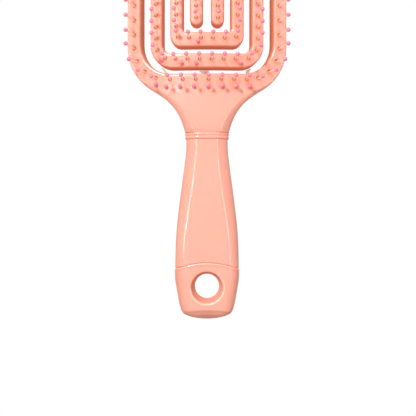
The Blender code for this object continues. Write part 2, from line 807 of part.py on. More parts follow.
def make_hinge(name, arm_x):
    """The axis that a tine bends about, at its root and half way through its depth."""
    hinge = bpy.data.objects.new(name, None)
    depth = crown(Vector((arm_x, OPENING_TOP, -BAR_THICKNESS / 2))).z
    hinge.location = (0, OPENING_TOP, depth)
    model.objects.link(hinge)
    return hinge


def make_frame():
    """Outer frame with the fan and both halves of the tang, its pins, studs and webs."""
    outlines = [frame_outline(), opening_outline()]
    cavity = [inset_outline(outlines[0], wall_inset), inset_outline(outlines[1], outward_wall)]
    rows = frame_rows()
    studs = frame_stud_places()
    front = front_shell("frame_front_shell", outlines, cavity, rows, studs, front_rim_width, NECK_FRONT_ROUND)
    add_part("frame_front_shell", with_tang("frame_front", front, True), peach)
    back = back_cover("frame_back_cover", outlines, cavity, back_rim_width, NECK_BACK_ROUND)
    add_part("frame_back_cover", with_tang("frame_back", back, False), peach)
    pin_rows("frame", rows, studs)


def make_loop(label, loop, rows, studs):
    """A sprung U-shaped loop: two shells and three pin rows."""
    hinge = make_hinge(label + "_hinge", loop.half_width - loop.arm_width / 2)
    outlines = [loop_outline(loop)]
    cavity = [inset_outline(outlines[0], plain_inset)]
    front = front_shell(label + "_front_shell", outlines, cavity, rows, studs, rim_width, EDGE_ROUND)
    add_part(label + "_front_shell", front, peach, hinge)
    back = back_cover(label + "_back_cover", outlines, cavity, rim_width, EDGE_ROUND)
    add_part(label + "_back_cover", back, peach, hinge)
    pin_rows(label, rows, studs, hinge)


def make_finger(label, side):
    """One of the two sprung fingers in the middle of the head."""
    hinge = make_hinge(label + "_hinge", FINGER_SLOT_HALF_WIDTH + FINGER_WIDTH / 2)
    outlines = [finger_outline(side)]
    cavity = [inset_outline(outlines[0], plain_inset)]
    rows = {"": finger_row(side)}
    front = front_shell(label + "_front_shell", outlines, cavity, rows, [], rim_width, EDGE_ROUND)
    add_part(label + "_front_shell", front, peach, hinge)
    back = back_cover(label + "_back_cover", outlines, cavity, rim_width, EDGE_ROUND)
    add_part(label + "_back_cover", back, peach, hinge)
    pin_rows(label, rows, [], hinge)


def frame_stud_places():
    """The row of low studs below the frame's bottom pins, and one more at its left end."""
    row_y = OPENING_BOTTOM - FRAME_BOTTOM_ROW_INSET - STUD_ROW_DROP
    half_row = HEAD_HALF_WIDTH - STUD_END_INSET - LAST_STUD_STEP
    places = []
    for index in range(STUD_ROW_COUNT):
        offset = half_row * (2 * index / (STUD_ROW_COUNT - 1) - 1)
        places.append(Vector((STUD_ROW_SHIFT + offset, row_y)))
    places.append(places[0] + Vector((-LAST_STUD_STEP, LAST_STUD_RISE)))
    return places


def middle_stud_places():
    """Three low studs on the loop's bottom bar and one on its left corner."""
    row_y = MIDDLE.bottom + MIDDLE_ROW_RISE - MIDDLE_STUD_DROP
    places = [Vector((share * MIDDLE.half_width, row_y)) for share in MIDDLE_STUD_SHARES]
    across = MIDDLE.half_width - MIDDLE.outer_corner
    radius = MIDDLE.outer_corner - CORNER_STUD_INSET
    x = -across + radius * math.cos(CORNER_STUD_TURN)
    places.append(Vector((x, MIDDLE.bottom + MIDDLE.outer_corner + radius * math.sin(CORNER_STUD_TURN))))
    return places


def inner_stud_places():
    row_y = INNER.bottom + INNER_ROW_RISE - INNER_STUD_DROP
    return [Vector((INNER_STUD_SHARE * INNER.half_width, row_y))]


def rounded_bottom(x, half_width, bottom, corner):
    """Height of the lower edge of a rounded outline at one place across it."""
    into = abs(x) - (half_width - corner)
    if into <= 0:
        return bottom
    return bottom + corner - math.sqrt(max(corner * corner - into * into, 0.0))


def make_webs():
    """Three nylon webs that bridge from the frame toward the middle loop."""
    for label, (loop_share, frame_share) in WEB_PLACE_SHARES.items():
        loop_half, frame_half = WEB_HALF_WIDTHS[label]
        outline = []
        for x in (loop_share * MIDDLE.half_width + loop_half, loop_share * MIDDLE.half_width - loop_half):
            edge = rounded_bottom(x, MIDDLE.half_width, MIDDLE.bottom, MIDDLE.outer_corner)
            outline.append(Vector((x, edge - WEB_CLEARANCE)))
        for x in (frame_share * MIDDLE.half_width - frame_half, frame_share * MIDDLE.half_width + frame_half):
            edge = rounded_bottom(x, OPENING_HALF_WIDTH, OPENING_BOTTOM, OPENING_CORNER)
            outline.append(Vector((x, edge + FIT_GAP)))
        web = plate(label, [outline], -WEB_DEPTH - WEB_THICKNESS, -WEB_DEPTH)
        add_part(label, bend_over_crown(web), nylon)


# Handle: sections across the brush, lofted along it


def section(y, half_width, front, back, panel_share, sag=0.0):
    """A ring of points: flat front panel, rounded sides and a flat back."""
    ring = []
    corners = (
        (1, front, panel_share, QUARTER, 0),
        (1, -back, BACK_PANEL_SHARE, 0, -QUARTER),
        (-1, -back, BACK_PANEL_SHARE, -QUARTER, 0),
        (-1, front, panel_share, 0, QUARTER),
    )
    for side, height, flat_share, start, end in corners:
        for step in range(QUARTER_STEPS + 1):
            angle = start + (end - start) * step / QUARTER_STEPS
            if abs(angle) < WELD and side * height < 0:
                continue
            x = side * half_width * (flat_share + (1 - flat_share) * math.cos(angle))
            z = MID_Z + abs(height) * math.sin(angle)
            ring.append(Vector((x, y, z)))
            if abs(end) > WELD and step == QUARTER_STEPS:
                for part in range(1, PANEL_STEPS):
                    ring.append(Vector((x * (1 - 2 * part / PANEL_STEPS), y, z)))
    for point in ring:
        point.y -= sag * (point.x / half_width) ** 2
    return ring


def loft(rings, closed):
    """Skin a row of rings; a closed row joins its last ring to its first, else both ends are capped."""
    work = bmesh.new()
    rows = [[work.verts.new(point) for point in ring] for ring in rings]
    pairs = list(zip(rows, rows[1:]))
    if closed:
        pairs.append((rows[-1], rows[0]))
    else:
        work.faces.new(rows[0])
        work.faces.new(rows[-1])
    for first, second in pairs:
        for index in range(len(first)):
            following = (index + 1) % len(first)
            work.faces.new((first[index], first[following], second[following], second[index]))
    bmesh.ops.recalc_face_normals(work, faces=work.faces)
    bmesh.ops.triangulate(work, faces=work.faces)
    mesh = bpy.data.meshes.new("loft")
    work.to_mesh(mesh)
    work.free()
    return mesh


def grip_section(shares, inset=0.0, sag=0.0, start=GRIP_START, end=SEAM_Y):
    """Section of the grip at one row of its table, drawn in by an inset."""
    along, width_share, front_share, back_share, panel_share = shares
    half_width = GRIP_NECK_HALF_WIDTH + (GRIP_HALF_WIDTH - GRIP_NECK_HALF_WIDTH) * width_share
    front = GRIP_NECK_DEPTH + (GRIP_FRONT_DEPTH - GRIP_NECK_DEPTH) * front_share
    back = GRIP_NECK_DEPTH + (MID_Z - GRIP_NECK_DEPTH) * back_share
    y = start + (end - start) * along
    return section(y, half_width - inset, front - inset, back - inset, panel_share, sag * along)


def make_grip():
    """Hollow grip, open at the collar and at the cap, whose seam is an arc."""
    start = GRIP_START - FIT_GAP
    outer = [grip_section(row, 0.0, SEAM_SAG, start, SEAM_Y) for row in GRIP_SHARES]
    inner = [grip_section(row, GRIP_WALL, SEAM_SAG, start, SEAM_Y) for row in reversed(GRIP_SHARES)]
    add_part("handle_sleeve", loft(outer + inner, True), peach)


def half_tang(name, front_half):
    """Half of the tang, in front of or behind the plane where the head's halves meet."""
    inset = GRIP_WALL + FIT_GAP
    half_width = GRIP_NECK_HALF_WIDTH - inset
    depth = GRIP_NECK_DEPTH - inset
    ends = (NECK_END + SHELL_WALL / 2, NECK_END - TANG_LENGTH)
    rings = [section(y, half_width, depth, depth, GRIP_SHARES[0][-1]) for y in ends]
    guide = add_guide(name, loft(rings, False))
    swell = NECK_HALF_DEPTH / (BAR_THICKNESS / 2)
    parting = MID_Z + (BAR_THICKNESS / 2 - SEAM_DEPTH) * swell
    if front_half:
        low = parting - GRIP_NECK_DEPTH
        high = parting
    else:
        low = parting - FIT_GAP * swell
        high = parting + GRIP_NECK_DEPTH
    reach = (Vector((GRIP_HALF_WIDTH, ends[0] + OVERRUN)), Vector((GRIP_HALF_WIDTH, ends[1] - OVERRUN)))
    rest = plate(name, [mirrored(reach) + list(reach)], low, high)
    combine(guide, add_guide(name + "_rest", rest), "DIFFERENCE")
    return add_guide(name + "_half", settled_mesh(guide))


def with_tang(name, mesh, front_half):
    """Join a half tang to the neck end of one of the frame's shells."""
    guide = add_guide(name + "_neck", mesh)
    combine(guide, half_tang(name + "_tang", front_half), "UNION")
    return settled_mesh(guide)


def make_collar():
    """Ring with two beads between the neck and the grip."""
    high = NECK_END - FIT_GAP
    low = GRIP_START
    rises = (COLLAR_EDGE, COLLAR_BEAD, COLLAR_BEAD, COLLAR_GROOVE, COLLAR_BEAD, COLLAR_BEAD, COLLAR_EDGE)
    along_shares = (0.0, 0.1, 0.4, 0.5, 0.6, 0.9, 1.0)
    outer = []
    for rise, along in zip(rises, along_shares):
        y = high + (low - high) * along
        half_width = GRIP_NECK_HALF_WIDTH + rise
        depth = GRIP_NECK_DEPTH + rise
        outer.append(section(y, half_width, depth, depth, GRIP_SHARES[0][-1]))
    inner = []
    for y in (low, high):
        half_width = GRIP_NECK_HALF_WIDTH - GRIP_WALL
        depth = GRIP_NECK_DEPTH - GRIP_WALL
        inner.append(section(y, half_width, depth, depth, GRIP_SHARES[0][-1]))
    add_part("collar_ring", loft(outer + inner, True), peach)


def cap_section(shares):
    along, width_share, depth_share = shares
    y = SEAM_Y - FIT_GAP + (GRIP_END - SEAM_Y + FIT_GAP) * along
    half_width = (GRIP_HALF_WIDTH + CAP_STEP) * width_share
    front = (GRIP_FRONT_DEPTH + CAP_STEP) * depth_share
    sag = SEAM_SAG * max(0.0, 1 - along / CAP_SAG_SHARE)
    return section(y, half_width, front, MID_Z * depth_share, GRIP_SHARES[-1][-1], sag)


def spigot_section(y, inset):
    panel_share = GRIP_SHARES[-1][-1]
    half_width = GRIP_HALF_WIDTH - inset
    return section(y, half_width, GRIP_FRONT_DEPTH - inset, MID_Z - inset, panel_share, SEAM_SAG)


def hang_hole_cutter():
    """Turned cutter for the hanging hole: a short throat that widens as a cone to both faces."""
    half_depth = max(GRIP_FRONT_DEPTH, MID_Z) + CAP_STEP
    rim = HANG_HOLE_RADIUS + HANG_HOLE_FLARE
    half = [
        (HANG_HOLE_RADIUS, half_depth * THROAT_SHARE), (rim, half_depth),
        (rim, half_depth + OVERRUN), (0, half_depth + OVERRUN),
    ]
    profile = half[::-1] + [(radius, -height) for radius, height in half]
    mesh = bpy.data.meshes.new("hang_hole")
    points = [(radius, 0, height) for radius, height in profile]
    mesh.from_pydata(points, [(index, index + 1) for index in range(len(points) - 1)], [])
    cutter = add_guide("hang_hole_cutter", mesh)
    cutter.location = (0, GRIP_END + HANG_HOLE_INSET, MID_Z)
    turn = cutter.modifiers.new("turn", "SCREW")
    turn.steps = HANG_HOLE_SIDES
    turn.render_steps = HANG_HOLE_SIDES
    turn.use_merge_vertices = True
    turn.merge_threshold = WELD
    return cutter


def make_cap():
    """End cap: a spigot inside the grip, a rounded end and the hanging hole."""
    inset = GRIP_WALL + FIT_GAP
    rings = [spigot_section(SEAM_Y + SPIGOT_LENGTH, inset), spigot_section(SEAM_Y - FIT_GAP, inset)]
    rings += [cap_section(row) for row in CAP_SHARES]
    guide = add_guide("end_cap_body", loft(rings, False))
    combine(guide, hang_hole_cutter(), "DIFFERENCE")
    add_part("end_cap", settled_mesh(guide), peach)


clear_scene()
model = make_collection("hair_brush")
guides = make_collection("cutters")
peach = make_material("peach_plastic", PEACH, 0.28)
nylon = make_material("beige_nylon", NYLON, 0.45)

make_frame()
make_webs()
make_loop("middle_loop", MIDDLE, middle_rows(), middle_stud_places())
make_loop("inner_loop", INNER, inner_rows(), inner_stud_places())
make_finger("left_finger", -1)
make_finger("right_finger", 1)
make_collar()
make_grip()
make_cap()
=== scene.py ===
"""Looks of a vented paddle hair brush: moulded shells, ball-tipped pins, grip and studio.

Metres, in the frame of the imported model: the brush lies on its back, the pins point along +Z
and the head end along +Y. The head is laid out flat, with z = 0 on its front face, and then
bent over a crown whose axis runs along Y.
"""

import logging
import math
from dataclasses import dataclass, field
from enum import Enum
from functools import cached_property

import bmesh
import bpy
from mathutils import Matrix, Vector
from mathutils.geometry import delaunay_2d_cdt


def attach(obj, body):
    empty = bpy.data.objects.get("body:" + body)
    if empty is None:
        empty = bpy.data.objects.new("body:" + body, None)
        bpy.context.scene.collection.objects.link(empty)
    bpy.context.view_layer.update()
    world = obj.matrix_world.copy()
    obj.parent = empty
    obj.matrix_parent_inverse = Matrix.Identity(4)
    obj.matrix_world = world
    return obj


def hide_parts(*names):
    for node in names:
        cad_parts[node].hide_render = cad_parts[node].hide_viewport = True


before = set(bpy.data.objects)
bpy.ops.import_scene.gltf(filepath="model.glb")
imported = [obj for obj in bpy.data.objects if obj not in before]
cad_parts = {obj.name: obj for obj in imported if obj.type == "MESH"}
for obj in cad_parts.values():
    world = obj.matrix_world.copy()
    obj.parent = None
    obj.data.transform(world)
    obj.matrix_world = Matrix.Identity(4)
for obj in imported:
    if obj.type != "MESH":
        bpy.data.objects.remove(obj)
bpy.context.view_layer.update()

log = logging.getLogger("hair_brush")

QUARTER = math.pi / 2
LONGEST_CHORD = 0.003
SMALLEST_MITRE = 0.3
SHARP_ANGLE = math.radians(38)
PIN_SHARP_ANGLE = math.radians(50)
FLAT_FACE_WEIGHT = 80
SIDE_PAINTED_SHADE_LIMIT = 0.5
PIN_SIZES = ("Foot Radius", "Top Radius", "Ball Radius")


class Side(Enum):
    """The two halves that every bar of the head is made of."""

    FRONT = "front"
    BACK = "back"


class Colour(Enum):
    """Linear colours of the finishes: base colours, and the colours of painted shade and a painted
    highlight.
    """

    PEACH = (0.98, 0.488, 0.395, 1.0)
    # Painted shade on the peach: slot walls, rims, pin holes, neck facets, the handle's sides and
    # the hanging hole's wall.
    PEACH_PAINTED_SHADE = (0.54, 0.17, 0.08, 1.0)
    # Painted highlight on the end cap's seam edge and on the rim of the hanging hole.
    PAINTED_HIGHLIGHT = (1.0, 0.80, 0.70, 1.0)
    NYLON = (0.98, 0.73, 0.59, 1.0)
    # Painted shade on the nylon strips at the bottom of the pin holes.
    NYLON_PAINTED_SHADE = (0.62, 0.22, 0.12, 1.0)
    # The webs' nylon darkened: painted shade for the shade between the bars.
    WEB = (0.56, 0.43, 0.31, 1.0)
    PINK = (1.0, 0.27, 0.38, 1.0)
    PINK_DEEP = (1.0, 0.18, 0.26, 1.0)


# Flat outlines


def smooth_share(start: float, end: float, value: float) -> float:
    """Ease from 0 at start to 1 at end.

    Args:
        start: Value at which the share is 0.
        end: Value at which the share is 1.
        value: Where to read the share.

    Returns:
        The eased share.
    """
    share = min(max((value - start) / (end - start), 0.0), 1.0)
    return share * share * (3 - 2 * share)


def arc(centre: tuple, radius: float, start: float, end: float, steps: int) -> list:
    """Points on an arc, both ends included.

    Args:
        centre: Middle of the arc.
        radius: Radius of the arc.
        start: First angle, in radians.
        end: Last angle, in radians.
        steps: Number of chords.

    Returns:
        The points, in order.
    """
    points = []
    for step in range(steps + 1):
        angle = start + (end - start) * step / steps
        x = centre[0] + radius * math.cos(angle)
        y = centre[1] + radius * math.sin(angle)
        points.append(Vector((x, y)))
    return points


def flipped(points: list) -> list:
    """The same points on the other side of the brush's axis."""
    return [Vector((-point.x, point.y)) for point in points]


def mirrored(points: list) -> list:
    """The same points on the other side of the brush's axis, in reverse order."""
    return flipped(points)[::-1]


def without_doubles(points: list, least: float = 1e-6) -> list:
    """A closed outline with no two points in one place."""
    return [here for at, here in enumerate(points) if (here - points[at - 1]).length > least]


def divided(points: list, longest: float = LONGEST_CHORD) -> list:
    """A closed outline whose chords are no longer than a limit.

    Args:
        points: The outline.
        longest: The longest chord to leave.

    Returns:
        The outline with points added on its long chords.
    """
    result = []
    for index, point in enumerate(points):
        following = points[(index + 1) % len(points)]
        pieces = max(1, math.ceil((following - point).length / longest))
        for piece in range(pieces):
            result.append(point.lerp(following, piece / pieces))
    return result


def signed_area(points: list) -> float:
    """Area inside an outline, positive when it runs counter-clockwise.

    Args:
        points: The outline.

    Returns:
        The area.
    """
    total = 0.0
    for index, point in enumerate(points):
        following = points[(index + 1) % len(points)]
        total += point.x * following.y - following.x * point.y
    return total / 2


def inset(points: list, distances: list) -> list:
    """Move each point of an outline inward by its own distance.

    Args:
        points: The outline.
        distances: One distance a point; a negative one moves it outward.

    Returns:
        The moved points.
    """
    turn = 1 if signed_area(points) > 0 else -1
    result = []
    for index, point in enumerate(points):
        before = (point - points[index - 1]).normalized()
        after = (points[(index + 1) % len(points)] - point).normalized()
        first = Vector((-before.y, before.x)) * turn
        second = Vector((-after.y, after.x)) * turn
        middle = (first + second).normalized()
        result.append(point + middle * distances[index] / max(middle.dot(second), SMALLEST_MITRE))
    return result


def inside(points: list, place: Vector) -> bool:
    """Whether a place lies inside an outline.

    Args:
        points: The outline.
        place: The place.

    Returns:
        True where it is inside.
    """
    found = False
    before = points[-1]
    for point in points:
        if (point.y > place.y) != (before.y > place.y):
            crossing = (before.x - point.x) * (place.y - point.y) / (before.y - point.y) + point.x
            if place.x < crossing:
                found = not found
        before = point
    return found


@dataclass(frozen=True)
class Crown:
    """The bend of the head over its length axis, and the fan that deepens toward the neck."""

    radius: float = 0.180
    thickness: float = 0.0095
    half_width: float = 0.0437
    neck_half_depth: float = 0.0065
    neck_half_width: float = 0.0119
    fan_top: float = 0.0086187
    swell_top: float = 0.0171514
    neck_end: float = -0.0143014

    @property
    def front_z(self) -> float:
        """Height of the front face on the axis."""
        turn = self.half_width / self.radius
        return self.radius - (self.radius - self.thickness) * math.cos(turn)

    @property
    def mid_z(self) -> float:
        """Height of the middle of the thickness on the axis."""
        return self.front_z - self.thickness / 2

    def toward_neck(self, y: float) -> float:
        """Share of the way from the head to the neck."""
        return smooth_share(self.swell_top, self.neck_end, y)

    def swell(self, y: float) -> float:
        """How much deeper the head is than its bars."""
        return 1 + (self.neck_half_depth / (self.thickness / 2) - 1) * self.toward_neck(y)

    def place(self, point: Vector) -> Vector:
        """Carry a point of the flat layout over the crown.

        Args:
            point: The point, with z = 0 on the front face.

        Returns:
            The same point of the brush.
        """
        depth = (point.z + self.thickness / 2) * self.swell(point.y) - self.thickness / 2
        turn = point.x / self.radius
        reach = self.radius + depth
        height = self.front_z - self.radius + reach * math.cos(turn)
        return Vector((reach * math.sin(turn), point.y, height))


CROWN = Crown()


# Finishes


def set_inputs(node: bpy.types.Node, values: dict) -> None:
    """Set the values of a node's inputs, each by its name or number."""
    for name, value in values.items():
        node.inputs[name].default_value = value


def add_node(
    tree: bpy.types.NodeTree, kind: str, values: dict | None = None, **settings: object
) -> bpy.types.Node:
    """Add a node to a tree.

    Args:
        tree: The tree.
        kind: Type of the node.
        values: Values of its inputs.
        **settings: Its properties, set before the inputs.

    Returns:
        The node.
    """
    node = tree.nodes.new(kind)
    for name, value in settings.items():
        setattr(node, name, value)
    set_inputs(node, values or {})
    return node


def wire(tree: bpy.types.NodeTree, *wires: tuple) -> None:
    """Link sockets of a tree.

    Args:
        tree: The tree.
        *wires: A node, its output, the next node and its input.
    """
    for source, output, target, entry in wires:
        tree.links.new(source.outputs[output], target.inputs[entry])


def new_group(name: str, kind: str, inputs: dict, outputs: dict) -> tuple:
    """An empty node group with its sockets.

    Args:
        name: Name of the group.
        kind: Type of the tree.
        inputs: Type of each input, by its name.
        outputs: Type of each output, by its name.

    Returns:
        The group, the node that holds its inputs and the node that holds its outputs.
    """
    tree = bpy.data.node_groups.new(name, kind)
    for way, sockets in (("INPUT", inputs), ("OUTPUT", outputs)):
        for label, form in sockets.items():
            tree.interface.new_socket(label, in_out=way, socket_type="NodeSocket" + form)
    return tree, tree.nodes.new("NodeGroupInput"), tree.nodes.new("NodeGroupOutput")


def moulded_group() -> bpy.types.NodeTree:
    """Shader group of moulded plastic: a faint mottle in colour, gloss and surface.

    A painted shade above 0 mixes in the painted shade colour, and one below 0 the colour of a
    painted highlight.

    Returns:
        The group, with a colour, a roughness and a height as outputs.
    """
    inputs = dict.fromkeys(("Colour", "Painted Shade Colour", "Painted Highlight Colour"), "Color")
    inputs |= dict.fromkeys(("Depth", "Roughness", "Mottle", "Scale"), "Float")
    outputs = {"Colour": "Color", "Roughness": "Float", "Height": "Float"}
    tree, start, end = new_group("moulded_surface", "ShaderNodeTree", inputs, outputs)
    grain_fineness = 9.0
    satin_share = 0.5
    place = add_node(tree, "ShaderNodeTexCoord")
    flow = add_node(tree, "ShaderNodeTexNoise", {"Detail": 3.0})
    fine = add_node(tree, "ShaderNodeMath", {1: grain_fineness}, operation="MULTIPLY")
    grain = add_node(tree, "ShaderNodeTexNoise", {"Detail": 2.0})
    centred = add_node(tree, "ShaderNodeMath", {1: 0.5}, operation="SUBTRACT")
    swing = add_node(tree, "ShaderNodeMath", operation="MULTIPLY")
    deeper = add_node(tree, "ShaderNodeMath", operation="ADD", use_clamp=True)
    tint = add_node(tree, "ShaderNodeMix", data_type="RGBA")
    # Below 0 the value is a painted highlight, mixed toward the highlight colour.
    edge = add_node(tree, "ShaderNodeMath", {1: -1.0}, operation="MULTIPLY", use_clamp=True)
    painted_highlight = add_node(tree, "ShaderNodeMix", data_type="RGBA")
    gloss = add_node(tree, "ShaderNodeMath", operation="ADD")
    satin = add_node(tree, "ShaderNodeMath", {1: satin_share}, operation="MULTIPLY_ADD")
    wire(
        tree,
        (place, "Object", flow, "Vector"),
        (start, "Scale", flow, "Scale"),
        (start, "Scale", fine, 0),
        (place, "Object", grain, "Vector"),
        (fine, 0, grain, "Scale"),
        (grain, "Fac", end, "Height"),
        (flow, "Fac", centred, 0),
        (centred, 0, swing, 0),
        (start, "Mottle", swing, 1),
        (start, "Depth", deeper, 0),
        (swing, 0, deeper, 1),
        (deeper, 0, tint, "Factor"),
        (start, "Colour", tint, "A"),
        (start, "Painted Shade Colour", tint, "B"),
        (start, "Depth", edge, 0),
        (edge, 0, painted_highlight, "Factor"),
        (tint, "Result", painted_highlight, "A"),
        (start, "Painted Highlight Colour", painted_highlight, "B"),
        (painted_highlight, "Result", end, "Colour"),
        (start, "Roughness", gloss, 0),
        (swing, 0, gloss, 1),
        (deeper, 0, satin, 0),
        (gloss, 0, satin, 2),
        (satin, 0, end, "Roughness"),
    )
    return tree


@dataclass(frozen=True)
class PlasticFinish:
    """One moulded plastic."""

    name: str
    colour: Colour
    deep: Colour
    roughness: float
    mottle: float
    scale: float
    bump: float
    subsurface: float
    scatter: float
    attribute: str = ""
    gloss: float = 0.35
    # glow and glow_colour make a painted glow: emission that lightens the plastic where the lamps
    # don't reach.
    glow: float = 0.0
    glow_colour: tuple = ()
    solid_share: float = 1.0
    shadow_share: float = 1.0
    scatter_reach: tuple = (1.0, 0.30, 0.15)
    bump_distance: float = 0.0002

    def material(self, group: bpy.types.NodeTree) -> bpy.types.Material:
        """Build the material.

        Args:
            group: The shared group of moulded plastic.

        Returns:
            The material.
        """
        made = bpy.data.materials.new(self.name)
        made.use_nodes = True
        tree = made.node_tree
        shader = tree.nodes["Principled BSDF"]
        looks = {
            "Colour": self.colour.value,
            "Painted Shade Colour": self.deep.value,
            "Painted Highlight Colour": Colour.PAINTED_HIGHLIGHT.value,
            "Roughness": self.roughness,
            "Mottle": self.mottle,
            "Scale": self.scale,
        }
        surface = add_node(tree, "ShaderNodeGroup", looks, node_tree=group)
        # The attribute carries painted shade above 0 and a painted highlight below 0.
        if self.attribute:
            depth = add_node(tree, "ShaderNodeAttribute", attribute_name=self.attribute)
            wire(tree, (depth, "Fac", surface, "Depth"))
        grain = {"Strength": self.bump, "Distance": self.bump_distance}
        bump = add_node(tree, "ShaderNodeBump", grain)
        wire(
            tree,
            (surface, "Colour", shader, "Base Color"),
            (surface, "Roughness", shader, "Roughness"),
            (surface, "Height", bump, "Height"),
            (bump, "Normal", shader, "Normal"),
        )
        body = {
            "Subsurface Weight": self.subsurface,
            "Subsurface Radius": self.scatter_reach,
            "Subsurface Scale": self.scatter,
            "Specular IOR Level": self.gloss,
            "Emission Strength": self.glow,
        }
        set_inputs(shader, body)
        # The emission is a painted glow, not a lamp.
        if self.glow_colour:
            set_inputs(shader, {"Emission Color": self.glow_colour})
        elif self.glow:
            wire(tree, (surface, "Colour", shader, "Emission Color"))
        if self.shadow_share < 1.0:
            path = add_node(tree, "ShaderNodeLightPath")
            shares = {1: self.shadow_share - self.solid_share, 2: self.solid_share}
            clear = add_node(tree, "ShaderNodeMath", shares, operation="MULTIPLY_ADD")
            wire(tree, (path, "Is Shadow Ray", clear, 0), (clear, 0, shader, "Alpha"))
        return made


class Finishes:
    """The finishes of the brush, each built once."""

    def __init__(self) -> None:
        """Build the shared group and every material."""
        group = moulded_group()
        self.peach = PlasticFinish(
            "peach_gloss",
            Colour.PEACH,
            Colour.PEACH_PAINTED_SHADE,
            roughness=0.12,
            mottle=0.04,
            scale=55.0,
            bump=0.02,
            subsurface=0.85,
            scatter=0.0019,
            attribute="painted_shade",
            gloss=0.7,
            # Painted glow: a faint warm emission that keeps shaded sides and shadows warm and
            # light.
            glow=0.19,
            glow_colour=(1.0, 0.32, 0.18, 1.0),
        ).material(group)
        nylon = {"roughness": 0.40, "mottle": 0.08, "scale": 300.0, "bump": 0.03}
        nylon |= {"subsurface": 0.0, "scatter": 0.0002}
        self.nylon = PlasticFinish(
            "beige_nylon",
            Colour.NYLON,
            Colour.NYLON_PAINTED_SHADE,
            attribute="painted_shade",
            # Painted glow that lightens the shafts in place of light passing through the nylon.
            glow=0.20,
            solid_share=0.70,
            shadow_share=0.25,
            **nylon,
        ).material(group)
        # The webs are the nylon with a darker colour and no glow: painted shade between the bars.
        self.web = PlasticFinish("web_nylon_in_shade", Colour.WEB, Colour.WEB, **nylon).material(group)
        self.pink = PlasticFinish(
            "pink_tips",
            Colour.PINK,
            Colour.PINK_DEEP,
            roughness=0.16,
            mottle=0.25,
            scale=500.0,
            bump=0.02,
            subsurface=0.3,
            scatter=0.0004,
            gloss=0.7,
            # Painted glow that lightens the balls' shaded sides.
            glow=0.20,
        ).material(group)


# Meshes


def mesh_from(name: str, work: bmesh.types.BMesh) -> bpy.types.Mesh:
    """Turn a work mesh, which is freed, into a mesh.

    Args:
        name: Name of the mesh.
        work: The work mesh.

    Returns:
        The mesh.
    """
    mesh = bpy.data.meshes.new(name)
    work.to_mesh(mesh)
    work.free()
    return mesh


def placed(name: str, data: bpy.types.ID) -> bpy.types.Object:
    """Put a mesh, a lamp or a camera into the scene, at the origin.

    Args:
        name: Name of the object.
        data: What the object holds.

    Returns:
        The object.
    """
    made = bpy.data.objects.new(name, data)
    bpy.context.scene.collection.objects.link(made)
    return made


def smoothed(name: str, mesh: bpy.types.Mesh, sharp: float = SHARP_ANGLE) -> bpy.types.Object:
    """An object at the origin whose mesh shades smooth.

    Args:
        name: Name of the piece.
        mesh: Its mesh.
        sharp: Angle above which an edge stays sharp.

    Returns:
        The object.
    """
    mesh.name = name
    mesh.shade_smooth()
    mesh.set_sharp_from_angle(angle=sharp)
    return placed(name, mesh)


def finished(name: str, work: bmesh.types.BMesh, material: bpy.types.Material) -> bpy.types.Object:
    """Turn a work mesh into an object at the origin.

    Args:
        name: Name of the piece.
        work: The mesh under construction, freed here.
        material: The piece's finish.

    Returns:
        The object.
    """
    mesh = mesh_from(name, work)
    mesh.materials.append(material)
    return smoothed(name, mesh)


def settled(piece: bpy.types.Object) -> bpy.types.Mesh:
    """A plain mesh of a piece as its modifiers leave it."""
    graph = bpy.context.evaluated_depsgraph_get()
    return bpy.data.meshes.new_from_object(piece.evaluated_get(graph), depsgraph=graph)


def evened(piece: bpy.types.Object) -> bpy.types.Object:
    """Let large faces keep their own direction, so that only the rounded edges shade round.

    Args:
        piece: The piece; its mesh is replaced.

    Returns:
        The same piece.
    """
    change = piece.modifiers.new("even", "WEIGHTED_NORMAL")
    change.keep_sharp = True
    change.weight = FLAT_FACE_WEIGHT
    mesh = settled(piece)
    mesh.name = piece.name
    piece.modifiers.remove(change)
    piece.data = mesh
    return piece


def skin_rows(work: bmesh.types.BMesh, rows: list) -> None:
    """Join each closed row of vertices to the next with a strip of faces.

    Args:
        work: The mesh to add to.
        rows: Rows alike in number.
    """
    for first, second in zip(rows, rows[1:]):
        for index in range(len(first)):
            following = (index + 1) % len(first)
            work.faces.new((first[index], first[following], second[following], second[index]))


def stand_for(piece: bpy.types.Object, body: str, node: str) -> None:
    """Let a peach piece ride on its body and stand for its solid.

    Args:
        piece: The piece.
        body: The body that it moves with.
        node: The solid that it replaces.
    """
    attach(piece, body)
    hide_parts(node)
    log.info("%s stands for %s", piece.name, node)


